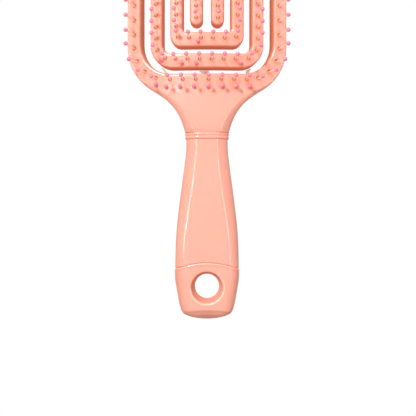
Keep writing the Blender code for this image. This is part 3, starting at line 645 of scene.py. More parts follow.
@dataclass
class BarSkin:
    """One half of a hollow bar: rounded outer face, parting edge, cavity and pin holes."""

    name: str
    side: Side
    borders: list
    holes: list = field(default_factory=list)
    stud_holes: list = field(default_factory=list)
    wall: float = 0.0014
    back_depth: float = 0.0038
    gap: float = 0.0003
    round: float = 0.0013
    round_depth: float = 0.0024
    neck_round: float = 0.0046
    neck_wall: float = 0.0050
    edge: float = 0.00016
    hole_radius: float = 0.0010
    stud_hole_radius: float = 0.00075
    hole_edge: float = 0.00018
    stud_hole_edge: float = 0.00018
    hole_sides: int = 14
    round_steps: int = 10
    grid: float = 0.0030
    facet_start: float = 0.013
    facet_full: float = -0.002
    facet_turn: float = math.radians(25)
    crease: float = 0.34
    corner: float = 0.45
    # Painted shade: how dark the outer border, the rims and the pin holes are painted, and how
    # strongly steepness darkens the neck's facets.
    open_border_painted_shade: float = 0.5
    rim_painted_shade: float = 0.10
    rim_fade: float = 1.3
    hole_painted_shade: float = 0.55
    facet_painted_shade: float = 0.9
    facet_painted_shade_full: float = 0.0
    back_neck_share: float = 0.74
    rim_depth_share: float = 0.6
    facet_fall: float = 0.94
    crease_run: float = 0.4
    grid_margin: float = 0.3
    open_border: bool = False

    def __post_init__(self) -> None:
        """Start an empty mesh and the attribute that carries the painted shade of the bar's sides,
        rims and holes.
        """
        self.work = bmesh.new()
        self.painted_shade = self.work.verts.layers.float.new("painted_shade")

    @property
    def up(self) -> int:
        """1 where the closed face looks forward, -1 where it looks back."""
        return 1 if self.side is Side.FRONT else -1

    @property
    def face_z(self) -> float:
        """Height of the closed face."""
        return 0.0 if self.side is Side.FRONT else -CROWN.thickness

    @property
    def parting_z(self) -> float:
        """Height of the parting edge."""
        seam = CROWN.thickness - self.back_depth
        return -seam if self.side is Side.FRONT else -seam - self.gap

    def rounding(self, point: Vector) -> float:
        """Width of the face's rim at one point: it widens evenly from the bars to the neck.

        Args:
            point: Place on the outline.

        Returns:
            The width.
        """
        full = self.neck_round * (1.0 if self.side is Side.FRONT else self.back_neck_share)
        share = (self.facet_start - point.y) / (self.facet_start - CROWN.neck_end)
        share = min(max(share, 0.0), 1.0)
        return self.round + (full - self.round) * share

    def rim(self, point: Vector, step: int) -> tuple:
        """Place on the rim's profile: rounded on the bars, a facet with a crease at the neck.

        Args:
            point: Place on the outline.
            step: 0 at the side of the bar, round_steps at the face.

        Returns:
            Distance in from the side and depth below the face.
        """
        width = self.rounding(point)
        along = step / self.round_steps
        plain_in = width * along**2
        deep = self.round_depth + (width - self.round) * self.rim_depth_share
        plain_down = deep * (1 - along) ** 2
        if self.side is Side.BACK:
            return plain_in, plain_down
        share = smooth_share(self.facet_start, self.facet_full, point.y)
        down = width * math.tan(self.facet_turn)
        corners = [Vector((0, down * (1 + self.corner))), Vector((0, down * self.facet_fall))]
        corners += [Vector((width, 0)), Vector((width * (1 + self.crease * self.crease_run), 0))]
        half = self.round_steps // 2
        if step <= half:
            before, corner, after = corners[0], corners[1], corners[1].lerp(corners[2], self.corner)
            t = step / half
        else:
            before, corner, after = corners[2].lerp(corners[1], self.crease), corners[2], corners[3]
            t = (step - half - 1) / (half - 1)
        facet = before * (1 - t) ** 2 + corner * 2 * t * (1 - t) + after * t * t
        return plain_in + (facet.x - plain_in) * share, plain_down + (facet.y - plain_down) * share

    def ring(self, points: list, heights: list, painted_shade: float) -> list:
        """Lay a closed row of points.

        Args:
            points: The flat places.
            heights: One height a point.
            painted_shade: How much painted shade the row carries.

        Returns:
            The row's vertices.
        """
        row = []
        for point, height in zip(points, heights):
            vert = self.work.verts.new((point.x, point.y, height))
            vert[self.painted_shade] = painted_shade
            row.append(vert)
        return row

    def drawn_in(self, border: list, distances: list, end: float) -> list:
        """Draw an outline into the solid, but keep the flat end of the neck straight.

        Args:
            border: The bar's outline.
            distances: One distance a point.
            end: How far the neck's end moves inward.

        Returns:
            The moved points.
        """
        moved = inset(border, distances)
        limit = CROWN.neck_end + end
        for index, point in enumerate(border):
            if point.y < CROWN.neck_end + 1e-6:
                across = 1 - distances[index] / CROWN.neck_half_width
                moved[index] = Vector((point.x * across, limit))
            moved[index].y = max(moved[index].y, limit)
        return moved

    def side_rows(self, border: list, into: int) -> tuple:
        """Rows from the rim of the face to the ceiling of the cavity.

        Args:
            border: The bar's outline.
            into: 1 where the solid lies inside the outline, -1 where it lies outside.

        Returns:
            The face's rim row and the cavity's ceiling row.
        """
        rows = []
        # Painted shade: the sides of the slots take the full shade colour and the brush's outer
        # border less; it fades in across the rim.
        depth = self.open_border_painted_shade if self.open_border and into > 0 else 1.0
        for step in range(self.round_steps, -1, -1):
            rim = [self.rim(point, step) for point in border]
            moved = self.drawn_in(border, [into * across for across, down in rim], 0.0)
            heights = [self.face_z - self.up * down for across, down in rim]
            fade = (1 - step / self.round_steps) ** self.rim_fade
            shade = self.rim_painted_shade + (1 - self.rim_painted_shade) * fade
            rows.append(self.ring(moved, heights, depth * shade))
        count = len(border)
        near = self.parting_z + self.up * self.edge
        rows.append(self.ring(border, [near] * count, depth))
        parting = self.drawn_in(border, [into * self.edge] * count, 0.0)
        rows.append(self.ring(parting, [self.parting_z] * count, depth))
        walls = []
        for point in border:
            thicker = (self.neck_wall - self.wall) * CROWN.toward_neck(point.y)
            walls.append(into * (self.wall + thicker))
        hollow = self.drawn_in(border, walls, self.neck_wall)
        rows.append(self.ring(hollow, [self.parting_z] * count, 1.0))
        rows.append(self.ring(hollow, [self.face_z - self.up * self.wall] * count, 1.0))
        skin_rows(self.work, rows)
        return rows[0], rows[-1]

    def hole_rows(self, place: Vector, radius: float, edge: float) -> tuple:
        """Rows of one pin hole from the face to the cavity.

        Args:
            place: Middle of the hole.
            radius: Radius of the hole.
            edge: Width of its rounded edge.

        Returns:
            The row on the face and the row on the ceiling.
        """
        rows = []
        # Painted shade in the pin hole: its rim partly, its wall fully.
        levels = [(radius + edge, 0.0, self.hole_painted_shade)]
        levels += [(radius, edge, 1.0), (radius, self.wall, 1.0)]
        for reach, depth, painted_shade in levels:
            points = arc(place, reach, 0, 2 * math.pi, self.hole_sides)[:-1]
            height = self.face_z - self.up * depth
            rows.append(self.ring(points, [height] * self.hole_sides, painted_shade))
        skin_rows(self.work, rows)
        return rows[0], rows[-1]

    def sheet(self, rims: list, holes: list, height: float, painted_shade: float, fine: bool) -> None:
        """Fill the area between rims and holes with triangles.

        Args:
            rims: Rows of vertices: the outer rim, then any opening.
            holes: Rows of vertices round the pin holes.
            height: Height of the sheet.
            painted_shade: Painted shade of the sheet's own points.
            fine: Whether to lay a grid of points inside.
        """
        rows = rims + holes
        verts = [vert for row in rows for vert in row]
        places = [vert.co.xy for vert in verts]
        edges = []
        start = 0
        for row in rows:
            count = len(row)
            edges += [(start + index, start + (index + 1) % count) for index in range(count)]
            start += count
        outer, *openings = [[vert.co.xy for vert in row] for row in rims]
        rounds = [[vert.co.xy for vert in row] for row in holes]
        middles = [sum(row, Vector((0, 0))) / len(row) for row in rounds]
        reach = [(row[0] - middle).length for row, middle in zip(rounds, middles)]
        if fine:
            margin = self.grid * self.grid_margin
            core = inset(outer, [margin] * len(outer))
            kept_out = [inset(row, [-margin] * len(row)) for row in openings]
            low_x = min(point.x for point in outer)
            low_y = min(point.y for point in outer)
            across = int((max(point.x for point in outer) - low_x) / self.grid) + 1
            along = int((max(point.y for point in outer) - low_y) / self.grid) + 1
            for column in range(across):
                for line in range(along):
                    shift = self.grid / 2 if line % 2 else 0
                    place = Vector((low_x + column * self.grid + shift, low_y + line * self.grid))
                    if not inside(core, place) or any(inside(row, place) for row in kept_out):
                        continue
                    if any((place - m).length < r + margin for m, r in zip(middles, reach)):
                        continue
                    vert = self.work.verts.new((place.x, place.y, height))
                    vert[self.painted_shade] = painted_shade
                    verts.append(vert)
                    places.append(place)
        found, _, faces, origins, _, _ = delaunay_2d_cdt(places, edges, [], 0, 1e-9, True)
        for face in faces:
            middle = sum((found[index] for index in face), Vector((0, 0))) / len(face)
            if not inside(outer, middle) or any(inside(row, middle) for row in openings):
                continue
            near = [row for row, m, r in zip(rounds, middles, reach) if (middle - m).length < r]
            if any(inside(row, middle) for row in near):
                continue
            corners = [verts[origins[index][0]] for index in face]
            if len(set(corners)) == 3:
                self.work.faces.new(corners)

    def build(self, material: bpy.types.Material) -> bpy.types.Object:
        """Build the half bar, bent over the crown.

        Args:
            material: The finish.

        Returns:
            The object.
        """
        rims = []
        ceilings = []
        for index, border in enumerate(self.borders):
            rim, ceiling = self.side_rows(border, 1 if index == 0 else -1)
            rims.append(rim)
            ceilings.append(ceiling)
        tops = []
        bottoms = []
        sizes = [(place, self.hole_radius, self.hole_edge) for place in self.holes]
        sizes += [(place, self.stud_hole_radius, self.stud_hole_edge) for place in self.stud_holes]
        for place, radius, edge in sizes:
            top, bottom = self.hole_rows(place, radius, edge)
            tops.append(top)
            bottoms.append(bottom)
        self.sheet(rims, tops, self.face_z, 0.0, True)
        self.sheet(ceilings, bottoms, self.face_z - self.up * self.wall, 1.0, False)
        for vert in self.work.verts:
            vert.co = CROWN.place(vert.co)
        bmesh.ops.recalc_face_normals(self.work, faces=self.work.faces)
        self.work.normal_update()
        # Painted shade on the neck's facets, darker where the surface turns further from the front.
        for vert in self.work.verts:
            near = smooth_share(self.facet_start, self.facet_painted_shade_full, vert.co.y)
            steep_painted_shade = self.facet_painted_shade * (1 - abs(vert.normal.z)) * near
            vert[self.painted_shade] = max(vert[self.painted_shade], steep_painted_shade)
        return evened(finished(self.name, self.work, material))


# Pin rows


def rounded_point(half_width: float, bottom: float, corner: float, distance: float) -> Vector:
    """A point at a distance from the axis along a path with one rounded corner.

    Args:
        half_width: Where the path's side runs.
        bottom: Where the path's bottom runs.
        corner: Radius of the corner.
        distance: Distance from the axis, negative to the left.

    Returns:
        The point.
    """
    side = -1 if distance < 0 else 1
    along = abs(distance)
    straight = half_width - corner
    bend = corner * QUARTER
    if along <= straight:
        return Vector((side * along, bottom))
    if along <= straight + bend:
        turn = (along - straight) / corner
        x = side * (straight + corner * math.sin(turn))
        return Vector((x, bottom + corner * (1 - math.cos(turn))))
    return Vector((side * half_width, bottom + corner + along - straight - bend))


def pin_tree(shaft: bpy.types.Material, ball: bpy.types.Material) -> bpy.types.NodeTree:
    """Geometry Nodes tree that turns each edge, from root to tip, into a pin.

    Args:
        shaft: Finish of the shafts.
        ball: Finish of the balls.

    Returns:
        The tree. Its inputs are the radii and whether to make the shafts or the balls.
    """
    inputs = {"Roots To Tips": "Geometry"} | dict.fromkeys(PIN_SIZES, "Float") | {"Balls": "Bool"}
    outputs = {"Pins": "Geometry"}
    tree, start, end = new_group("ball_tipped_pins", "GeometryNodeTree", inputs, outputs)
    round_shaft = {"Resolution": 10, "Radius": 1.0}
    round_ball = {"Segments": 14, "Rings": 9}
    lines = add_node(tree, "GeometryNodeMeshToCurve")
    along = add_node(tree, "GeometryNodeSplineParameter")
    taper = add_node(tree, "ShaderNodeMix", data_type="FLOAT")
    circle = add_node(tree, "GeometryNodeCurvePrimitiveCircle", round_shaft, mode="RADIUS")
    tube = add_node(tree, "GeometryNodeCurveToMesh", {"Fill Caps": True})
    shafts = add_node(tree, "GeometryNodeSetMaterial", {"Material": shaft})
    tips = add_node(tree, "GeometryNodeCurveEndpointSelection", {"Start Size": 0, "End Size": 1})
    sphere = add_node(tree, "GeometryNodeMeshUVSphere", round_ball)
    spots = add_node(tree, "GeometryNodeInstanceOnPoints")
    real = add_node(tree, "GeometryNodeRealizeInstances")
    balls = add_node(tree, "GeometryNodeSetMaterial", {"Material": ball})
    choose = add_node(tree, "GeometryNodeSwitch", input_type="GEOMETRY")
    wire(
        tree,
        (start, "Roots To Tips", lines, "Mesh"),
        (along, "Factor", taper, "Factor"),
        (start, "Foot Radius", taper, "A"),
        (start, "Top Radius", taper, "B"),
        (lines, "Curve", tube, "Curve"),
        (circle, "Curve", tube, "Profile Curve"),
        (taper, "Result", tube, "Scale"),
        (tube, "Mesh", shafts, "Geometry"),
        (start, "Ball Radius", sphere, "Radius"),
        (lines, "Curve", spots, "Points"),
        (tips, "Selection", spots, "Selection"),
        (sphere, "Mesh", spots, "Instance"),
        (spots, "Instances", real, "Geometry"),
        (real, "Geometry", balls, "Geometry"),
        (start, "Balls", choose, "Switch"),
        (shafts, "Geometry", choose, "False"),
        (balls, "Geometry", choose, "True"),
        (choose, "Output", end, "Pins"),
    )
    return tree


@dataclass
class PinField:
    """The pins, low studs and nylon strips of one moving piece of the head."""

    name: str
    body: str
    rows: list
    studs: list
    replaced: tuple
    height: float = 0.0125
    wall: float = 0.0014
    gap: float = 0.0003
    strip_thickness: float = 0.0014
    strip_half_width: float = 0.0011
    pad_half_width: float = 0.00075
    strip_end: float = 0.0009
    foot_radius: float = 0.00055
    top_radius: float = 0.00047
    neck_radius: float = 0.00045
    ball_radius: float = 0.00115
    tip_share: float = -0.030
    edge_tip_share: float = 0.018
    lean_start: float = 0.020
    lean_end: float = 0.040
    corner_lean: float = 0.0014
    corner_lean_across: tuple = (0.021, 0.027)
    corner_lean_along: tuple = (0.0244014, 0.0303514)

    @property
    def strip_top(self) -> float:
        """Height of the strips' upper face."""
        return -self.wall - self.gap

    def tip(self, place: Vector) -> Vector:
        """Middle of a pin's ball: it leans out near the edge, and to the handle in the corners.

        Args:
            place: Where the pin stands.

        Returns:
            The middle, in the flat layout.
        """
        rest = smooth_share(self.lean_start, self.lean_end, abs(place.x))
        share = self.tip_share + (self.edge_tip_share - self.tip_share) * rest
        corner = smooth_share(*self.corner_lean_across, abs(place.x))
        lean = self.corner_lean * corner * (1 - smooth_share(*self.corner_lean_along, place.y))
        y = place.y - lean
        half = CROWN.thickness / 2
        return Vector((place.x * (1 + share), y, (self.height + half) / CROWN.swell(y) - half))

    def edges(self, pairs: list) -> bpy.types.Mesh:
        """A mesh of loose edges, each from a root to a tip.

        Args:
            pairs: Root and tip of each pin in the flat layout.

        Returns:
            The mesh, bent over the crown.
        """
        mesh = bpy.data.meshes.new(self.name + "_lines")
        points = [CROWN.place(point) for pair in pairs for point in pair]
        mesh.from_pydata(points, [(2 * index, 2 * index + 1) for index in range(len(pairs))], [])
        return mesh

    def grown(
        self, suffix: str, pairs: list, tree: bpy.types.NodeTree, balls: bool, radii: tuple
    ) -> bpy.types.Object:
        """Grow shafts or balls on edges and keep the result as a plain mesh.

        Args:
            suffix: End of the piece's name.
            pairs: Root and tip of each pin.
            tree: The tree that grows them.
            balls: Whether to grow the balls.
            radii: Foot, top and ball radius.

        Returns:
            The object.
        """
        holder = placed(self.name + "_holder", self.edges(pairs))
        change = holder.modifiers.new("pins", "NODES")
        change.node_group = tree
        values = dict(zip(PIN_SIZES, radii)) | {"Balls": balls}
        for item in tree.interface.items_tree:
            if item.in_out == "INPUT" and item.name in values:
                change[item.identifier] = values[item.name]
        mesh = settled(holder)
        bpy.data.objects.remove(holder)
        work = bmesh.new()
        work.from_mesh(mesh)
        bmesh.ops.recalc_face_normals(work, faces=work.faces)
        work.to_mesh(mesh)
        work.free()
        return smoothed(self.name + suffix, mesh, PIN_SHARP_ANGLE)

    def strip(self, work: bmesh.types.BMesh, path: list, half_width: float, end: float) -> None:
        """Sweep a flat nylon strip along a row of pins.

        Args:
            work: The mesh to add to.
            path: Places of the pins.
            half_width: Half of the strip's width.
            end: How far it runs on past both ends.
        """
        first = path[0] + (path[0] - path[1]).normalized() * end
        last = path[-1] + (path[-1] - path[-2]).normalized() * end
        line = [first] + path[1:-1] + [last]
        rings = []
        for index, point in enumerate(line):
            ahead = line[min(index + 1, len(line) - 1)] - line[max(index - 1, 0)]
            across = Vector((-ahead.y, ahead.x)).normalized() * half_width
            top = self.strip_top
            low = top - self.strip_thickness
            left, right = point + across, point - across
            corners = ((left, low), (left, top), (right, top), (right, low))
            rings.append([work.verts.new(CROWN.place(Vector((p.x, p.y, z)))) for p, z in corners])
        skin_rows(work, rings)
        work.faces.new(rings[0])
        work.faces.new(rings[-1])

    def build(self, finishes: Finishes, tree: bpy.types.NodeTree) -> None:
        """Build the strips, shafts and balls, and let them ride on their body.

        Args:
            finishes: The finishes.
            tree: The tree that grows pins.
        """
        foot = self.strip_top - self.strip_thickness / 2
        places = [place for row in self.rows for place in row]
        pins = [(Vector((place.x, place.y, foot)), self.tip(place)) for place in places]
        low = self.ball_radius + self.gap
        studs = [(Vector((s.x, s.y, foot)), Vector((s.x, s.y, low))) for s in self.studs]
        radii = (self.foot_radius, self.top_radius, self.ball_radius)
        neck_radii = (self.neck_radius, self.neck_radius, self.ball_radius)
        work = bmesh.new()
        for row in self.rows:
            self.strip(work, row, self.strip_half_width, self.strip_end)
        for stud in self.studs:
            root = min(places, key=lambda place: (place - stud).length)
            self.strip(work, [root, stud], self.pad_half_width, 0.0)
        bmesh.ops.recalc_face_normals(work, faces=work.faces)
        # Painted shade: the strips are fully darkened, as the bottoms of the pin holes lie in
        # shade.
        shade = work.verts.layers.float.new("painted_shade")
        for vert in work.verts:
            vert[shade] = 1.0
        strips = finished(self.name + "_strips", work, finishes.nylon)
        shafts = self.grown("_shafts", pins, tree, False, radii)
        balls = self.grown("_tips", pins + studs, tree, True, radii)
        made = [strips, shafts, balls]
        if studs:
            necks = self.grown("_stud_necks", studs, tree, False, neck_radii)
            made.append(necks)
        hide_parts(*self.replaced)
        for piece in made:
            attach(piece, self.body)
            log.info("%s rides on %s", piece.name, self.body)


# Pieces of the head


def build_member(
    name: str, borders: list, rows: dict, studs: list, looks: tuple, open_border: bool = False
) -> None:
    """Build both shells and the pins of one moving piece of the head.

    Args:
        name: Name of the piece and of its body.
        borders: Its outline, then any opening.
        rows: Rows of pin places, each by the end of its solid's name.
        studs: Places of the low studs.
        looks: The finishes and the tree that grows pins.
        open_border: Whether the outline is the brush's own outer edge.
    """
    finishes, tree = looks
    places = [place for row in rows.values() for place in row]
    front = BarSkin(name + "_front", Side.FRONT, borders, places, studs, open_border=open_border)
    back = BarSkin(name + "_back", Side.BACK, borders, open_border=open_border)
    for shell, suffix in ((front, "_front_shell"), (back, "_back_cover")):
        stand_for(shell.build(finishes.peach), name, name + suffix)
    nodes = tuple(name + suffix for suffix in rows)
    PinField(name + "_pins", name, list(rows.values()), studs, nodes).build(finishes, tree)


@dataclass
class HeadFrame:
    """Outer frame of the head with the fan and its pins."""

    head_top: float = 0.1140014
    half_width: float = 0.0437
    bar_width: float = 0.00765
    top_bar_width: float = 0.0107
    opening_length: float = 0.08615
    opening_corner: float = 0.017
    opening_top_corner: float = 0.0045
    top_corner: float = 0.016
    lower_corner: float = 0.027
    heel_depth: float = 0.01215
    lower_turn: float = math.radians(60)
    neck_turn: float = math.radians(76)
    reach_shares: tuple = (0.40, 0.42)
    row_inset: float = 0.0044
    top_row_inset: float = 0.0054
    bottom_row_inset: float = 0.00325
    row_corner: float = 0.0175
    top_row_corner: float = 0.011
    pitch: float = 0.00685
    corner_pitch: float = 0.0071
    row_shift: float = 0.0008
    column_pitch: float = 0.00785
    row_pins: int = 7
    column_pins: int = 8
    corner_pins: int = 4
    top_corner_pins: int = 3
    stud_drop: float = 0.0037
    stud_pitch: float = 0.0074
    stud_count: int = 7
    stud_shift: float = 0.0005
    last_stud_step: float = 0.0055
    last_stud_rise: float = 0.0011
    fan_steps: int = 24
    lower_steps: int = 18
    corner_steps: int = 16
    top_steps: int = 8

    @property
    def opening_top(self) -> float:
        """Where the opening ends below the top bar."""
        return self.head_top - self.top_bar_width

    @property
    def opening_bottom(self) -> float:
        """Where the opening ends above the fan."""
        return self.opening_top - self.opening_length

    @property
    def opening_half_width(self) -> float:
        """Half of the opening's width."""
        return self.half_width - self.bar_width

    def fan_edge(self) -> list:
        """The S-curve from the end of the lower corner to the neck.

        Returns:
            The points, from the corner on.
        """
        corner_x = self.half_width - self.lower_corner
        start_x = corner_x + self.lower_corner * math.cos(self.lower_turn)
        start = Vector((start_x, CROWN.fan_top))
        end = Vector((CROWN.neck_half_width, CROWN.neck_end))
        chord = (end - start).length
        out_turn = self.lower_turn - QUARTER
        out_way = Vector((-math.cos(out_turn), math.sin(out_turn)))
        neck_way = Vector((math.cos(self.neck_turn), math.sin(self.neck_turn)))
        first = start + out_way * chord * self.reach_shares[0]
        second = end + neck_way * chord * self.reach_shares[1]
        points = []
        for step in range(1, self.fan_steps + 1):
            t = step / self.fan_steps
            s = 1 - t
            near = start * s**3 + first * 3 * s * s * t
            points.append(near + second * 3 * s * t * t + end * t**3)
        return points

    def outline(self) -> list:
        """Outer edge of the frame and fan.

        Returns:
            The outline.
        """
        corner_x = self.half_width - self.lower_corner
        corner_y = self.opening_bottom - self.heel_depth + self.lower_corner
        centre = (corner_x, corner_y)
        lower = arc(centre, self.lower_corner, 0, -self.lower_turn, self.lower_steps)
        top_centre = (self.half_width - self.top_corner, self.head_top - self.top_corner)
        upper = arc(top_centre, self.top_corner, QUARTER, 0, self.corner_steps)
        right = upper + lower + self.fan_edge()
        return divided(without_doubles(mirrored(right) + right))

    def opening(self) -> list:
        """Edge of the frame's opening.

        Returns:
            The outline.
        """
        corner = self.opening_top_corner
        top_centre = (self.opening_half_width - corner, self.opening_top - corner)
        top = arc(top_centre, corner, QUARTER, 0, self.top_steps)
        corner = self.opening_corner
        low_centre = (self.opening_half_width - corner, self.opening_bottom + corner)
        right = top + arc(low_centre, corner, 0, -QUARTER, self.corner_steps)
        return divided(without_doubles(mirrored(right) + right))

    def rows(self) -> dict:
        """Pin places of the frame's four sides, ordered along each side.

        Returns:
            The rows, each by the end of its solid's name.
        """
        half_width = self.half_width - self.row_inset
        bottom = self.opening_bottom - self.bottom_row_inset
        half_row = (self.row_pins - 1) // 2
        shared = self.corner_pins // 2

        def low_point(index: int) -> Vector:
            """A place on the row along the lower edge, counted from the axis.

            Args:
                index: Number of the pin, negative to the left.

            Returns:
                The place.
            """
            beyond = max(abs(index) - half_row, 0)
            distance = min(abs(index), half_row) * self.pitch + beyond * self.corner_pitch
            shift = 0 if beyond else self.row_shift
            distance = math.copysign(distance, index) + shift
            return rounded_point(half_width, bottom, self.row_corner, distance)

        row_end = half_row + shared
        column_start = half_row + self.corner_pins + 1
        low_row = [low_point(index) for index in range(-row_end, row_end + 1)]
        column = [low_point(index) for index in range(row_end + 1, column_start + 1)]
        for _ in range(self.column_pins - 1):
            column.append(column[-1] + Vector((0, self.column_pitch)))

        def top_point(distance: float) -> Vector:
            """A place on the row below the top edge.

            Args:
                distance: Distance from the axis along the row.

            Returns:
                The place.
            """
            point = rounded_point(half_width, 0, self.top_row_corner, distance)
            return Vector((point.x, self.head_top - self.top_row_inset - point.y))

        level_end = half_row * self.pitch
        corner_path = half_width - self.top_row_corner + self.top_row_corner * QUARTER
        column_rest = self.head_top - self.top_row_inset - self.top_row_corner - column[-1].y
        step = (corner_path + column_rest - level_end) / (self.top_corner_pins + 1)
        numbers = range(1, self.top_corner_pins + 1)
        corner = [top_point(level_end + number * step) for number in numbers]
        column.append(corner.pop())
        high_row = [top_point(index * self.pitch) for index in range(-half_row, half_row + 1)]
        high_row = mirrored(corner) + high_row + corner
        return {
            "_pins_bottom": low_row,
            "_pins_top": high_row,
            "_pins_left": flipped(column),
            "_pins_right": column,
        }

    def studs(self) -> list:
        """The row of low studs below the bottom pins, and one more at its left end.

        Returns:
            The places.
        """
        row_y = self.opening_bottom - self.bottom_row_inset - self.stud_drop
        places = []
        for index in range(self.stud_count):
            steps_out = index - (self.stud_count - 1) / 2
            places.append(Vector((self.stud_shift + steps_out * self.stud_pitch, row_y)))
        places.append(places[0] + Vector((-self.last_stud_step, self.last_stud_rise)))
        return places

    def build(self, finishes: Finishes, tree: bpy.types.NodeTree) -> None:
        """Build the frame's shells and pins."""
        borders = [self.outline(), self.opening()]
        build_member("frame", borders, self.rows(), self.studs(), (finishes, tree), True)


@dataclass
class HeadLoop:
    """A U-shaped loop of the head, hung from the top bar."""

    name: str
    half_width: float
    arm_width: float
    bottom: float
    bar_width: float
    outer_corner: float
    inner_corner: float
    row_inset: float
    row_rise: float
    row_corner: float
    pitch: float
    bottom_pins: int
    column_pins: int
    studs: list = field(default_factory=list)
    column_start: float = 0.0
    shared_corner: bool = False
    row_shift: float = 0.0
    arm_end: float = 0.1026
    column_pitch: float = 0.00613
    outer_steps: int = 14
    inner_steps: int = 8

    def outline(self) -> list:
        """Edge of the loop: down the outside, along the bottom and back up the inside.

        Returns:
            The outline.
        """
        outer = [Vector((self.half_width, self.arm_end))]
        outer_x = self.half_width - self.outer_corner
        outer_centre = (outer_x, self.bottom + self.outer_corner)
        outer += arc(outer_centre, self.outer_corner, 0, -QUARTER, self.outer_steps)
        inner_x = self.half_width - self.arm_width - self.inner_corner
        inner_y = self.bottom + self.bar_width + self.inner_corner
        inner = arc((inner_x, inner_y), self.inner_corner, -QUARTER, 0, self.inner_steps)
        inner.append(Vector((self.half_width - self.arm_width, self.arm_end)))
        return divided(without_doubles(outer + mirrored(outer) + mirrored(inner) + inner))

    def rows(self) -> dict:
        """Pin places of the bottom bar and of both arms.

        Returns:
            The rows, each by the end of its solid's name.
        """
        half_width = self.half_width - self.row_inset
        bottom = self.bottom + self.row_rise
        low_row = []
        for index in range(self.bottom_pins):
            offset = (index - (self.bottom_pins - 1) / 2) * self.pitch
            if 0 < index < self.bottom_pins - 1:
                offset += self.row_shift
            low_row.append(rounded_point(half_width, bottom, self.row_corner, offset))
        column = []
        if self.shared_corner:
            next_step = (self.bottom_pins + 1) / 2 * self.pitch
            column.append(rounded_point(half_width, bottom, self.row_corner, next_step))
            first = rounded_point(half_width, bottom, self.row_corner, next_step + self.pitch)
        else:
            first = Vector((half_width, bottom + self.row_corner + self.column_start))
        for index in range(self.column_pins):
            column.append(first + Vector((0, index * self.column_pitch)))
        return {"_pins_bottom": low_row, "_pins_left": flipped(column), "_pins_right": column}

    def build(self, finishes: Finishes, tree: bpy.types.NodeTree) -> None:
        """Build the loop's shells and pins."""
        build_member(self.name, [self.outline()], self.rows(), self.studs, (finishes, tree))


@dataclass
class HeadFinger:
    """One of the two sprung fingers in the middle of the head."""

    name: str
    side: int
    near: float = 0.0022051
    width: float = 0.0071
    bottom: float = 0.0427
    arm_end: float = 0.1026
    pitch: float = 0.0064
    pins: int = 9
    first_pin: float = 0.0039
    end_steps: int = 20

    def outline(self) -> list:
        """Edge of the finger, with its free end rounded.

        Returns:
            The outline.
        """
        radius = self.width / 2
        points = [Vector((self.near, self.arm_end))]
        centre = (self.near + radius, self.bottom + radius)
        points += arc(centre, radius, -math.pi, 0, self.end_steps)
        points.append(Vector((self.near + self.width, self.arm_end)))
        return divided([Vector((self.side * point.x, point.y)) for point in points])

    def build(self, finishes: Finishes, tree: bpy.types.NodeTree) -> None:
        """Build the finger's shells and pins.

        Args:
            finishes: The finishes.
            tree: The tree that grows pins.
        """
        first = Vector((self.side * (self.near + self.width / 2), self.bottom + self.first_pin))
        row = [first + Vector((0, index * self.pitch)) for index in range(self.pins)]
        build_member(self.name, [self.outline()], {"_pins": row}, [], (finishes, tree))


# Handle


def through(table: tuple, per_step: int) -> list:
    """Rows of a table joined by a smooth curve through all of them.

    Args:
        table: Rows of shares.
        per_step: Rows to lay between two rows of the table.

    Returns:
        The finer rows.
    """
    rows = []
    for index in range(len(table) - 1):
        here, there = table[index], table[index + 1]
        before = table[max(index - 1, 0)]
        after = table[min(index + 2, len(table) - 1)]
        for step in range(per_step):
            t = step / per_step
            row = []
            for a, b, c, d in zip(before, here, there, after):
                slope_in = (c - a) / 2
                slope_out = (d - b) / 2
                if (c - b) * slope_in < 0 or b == c:
                    slope_in = 0.0
                if (c - b) * slope_out < 0 or b == c:
                    slope_out = 0.0
                t2, t3 = t * t, t * t * t
                value = (2 * t3 - 3 * t2 + 1) * b + (t3 - 2 * t2 + t) * slope_in
                row.append(value + (3 * t2 - 2 * t3) * c + (t3 - t2) * slope_out)
            rows.append(tuple(row))
    rows.append(tuple(table[-1]))
    return rows


def paint_side_shade(work: bmesh.types.BMesh, start: float, most: float, toward_end: float = 0.0) -> None:
    """Paint shade on the sides of a turned or lofted piece, from the way that its surface faces.

    Args:
        work: The mesh, with its normals right.
        start: Share of the way to level at which the painted shade ends.
        most: Painted shade where the surface stands upright.
        toward_end: Further painted shade where the surface looks along the handle, away from the
            head and the light.
    """
    layer = work.verts.layers.float.new("painted_shade")
    work.normal_update()
    for vert in work.verts:
        level = math.sqrt(max(0.0, 1 - vert.normal.x**2 - min(vert.normal.y, 0.0) ** 2))
        tint = most * max(0.0, 1 - level / start) + toward_end * max(0.0, -vert.normal.y)
        vert[layer] = min(tint, SIDE_PAINTED_SHADE_LIMIT)


def loft(work: bmesh.types.BMesh, rings: list, closed: bool) -> None:
    """Skin a row of rings.

    Args:
        work: The mesh to add to.
        rings: Rings of points, alike in number.
        closed: Whether the last ring joins the first; otherwise both ends are capped.
    """
    rows = [[work.verts.new(point) for point in ring] for ring in rings]
    if closed:
        rows.append(rows[0])
    else:
        work.faces.new(rows[0])
        work.faces.new(rows[-1])
    skin_rows(work, rows)
    bmesh.ops.recalc_face_normals(work, faces=work.faces)


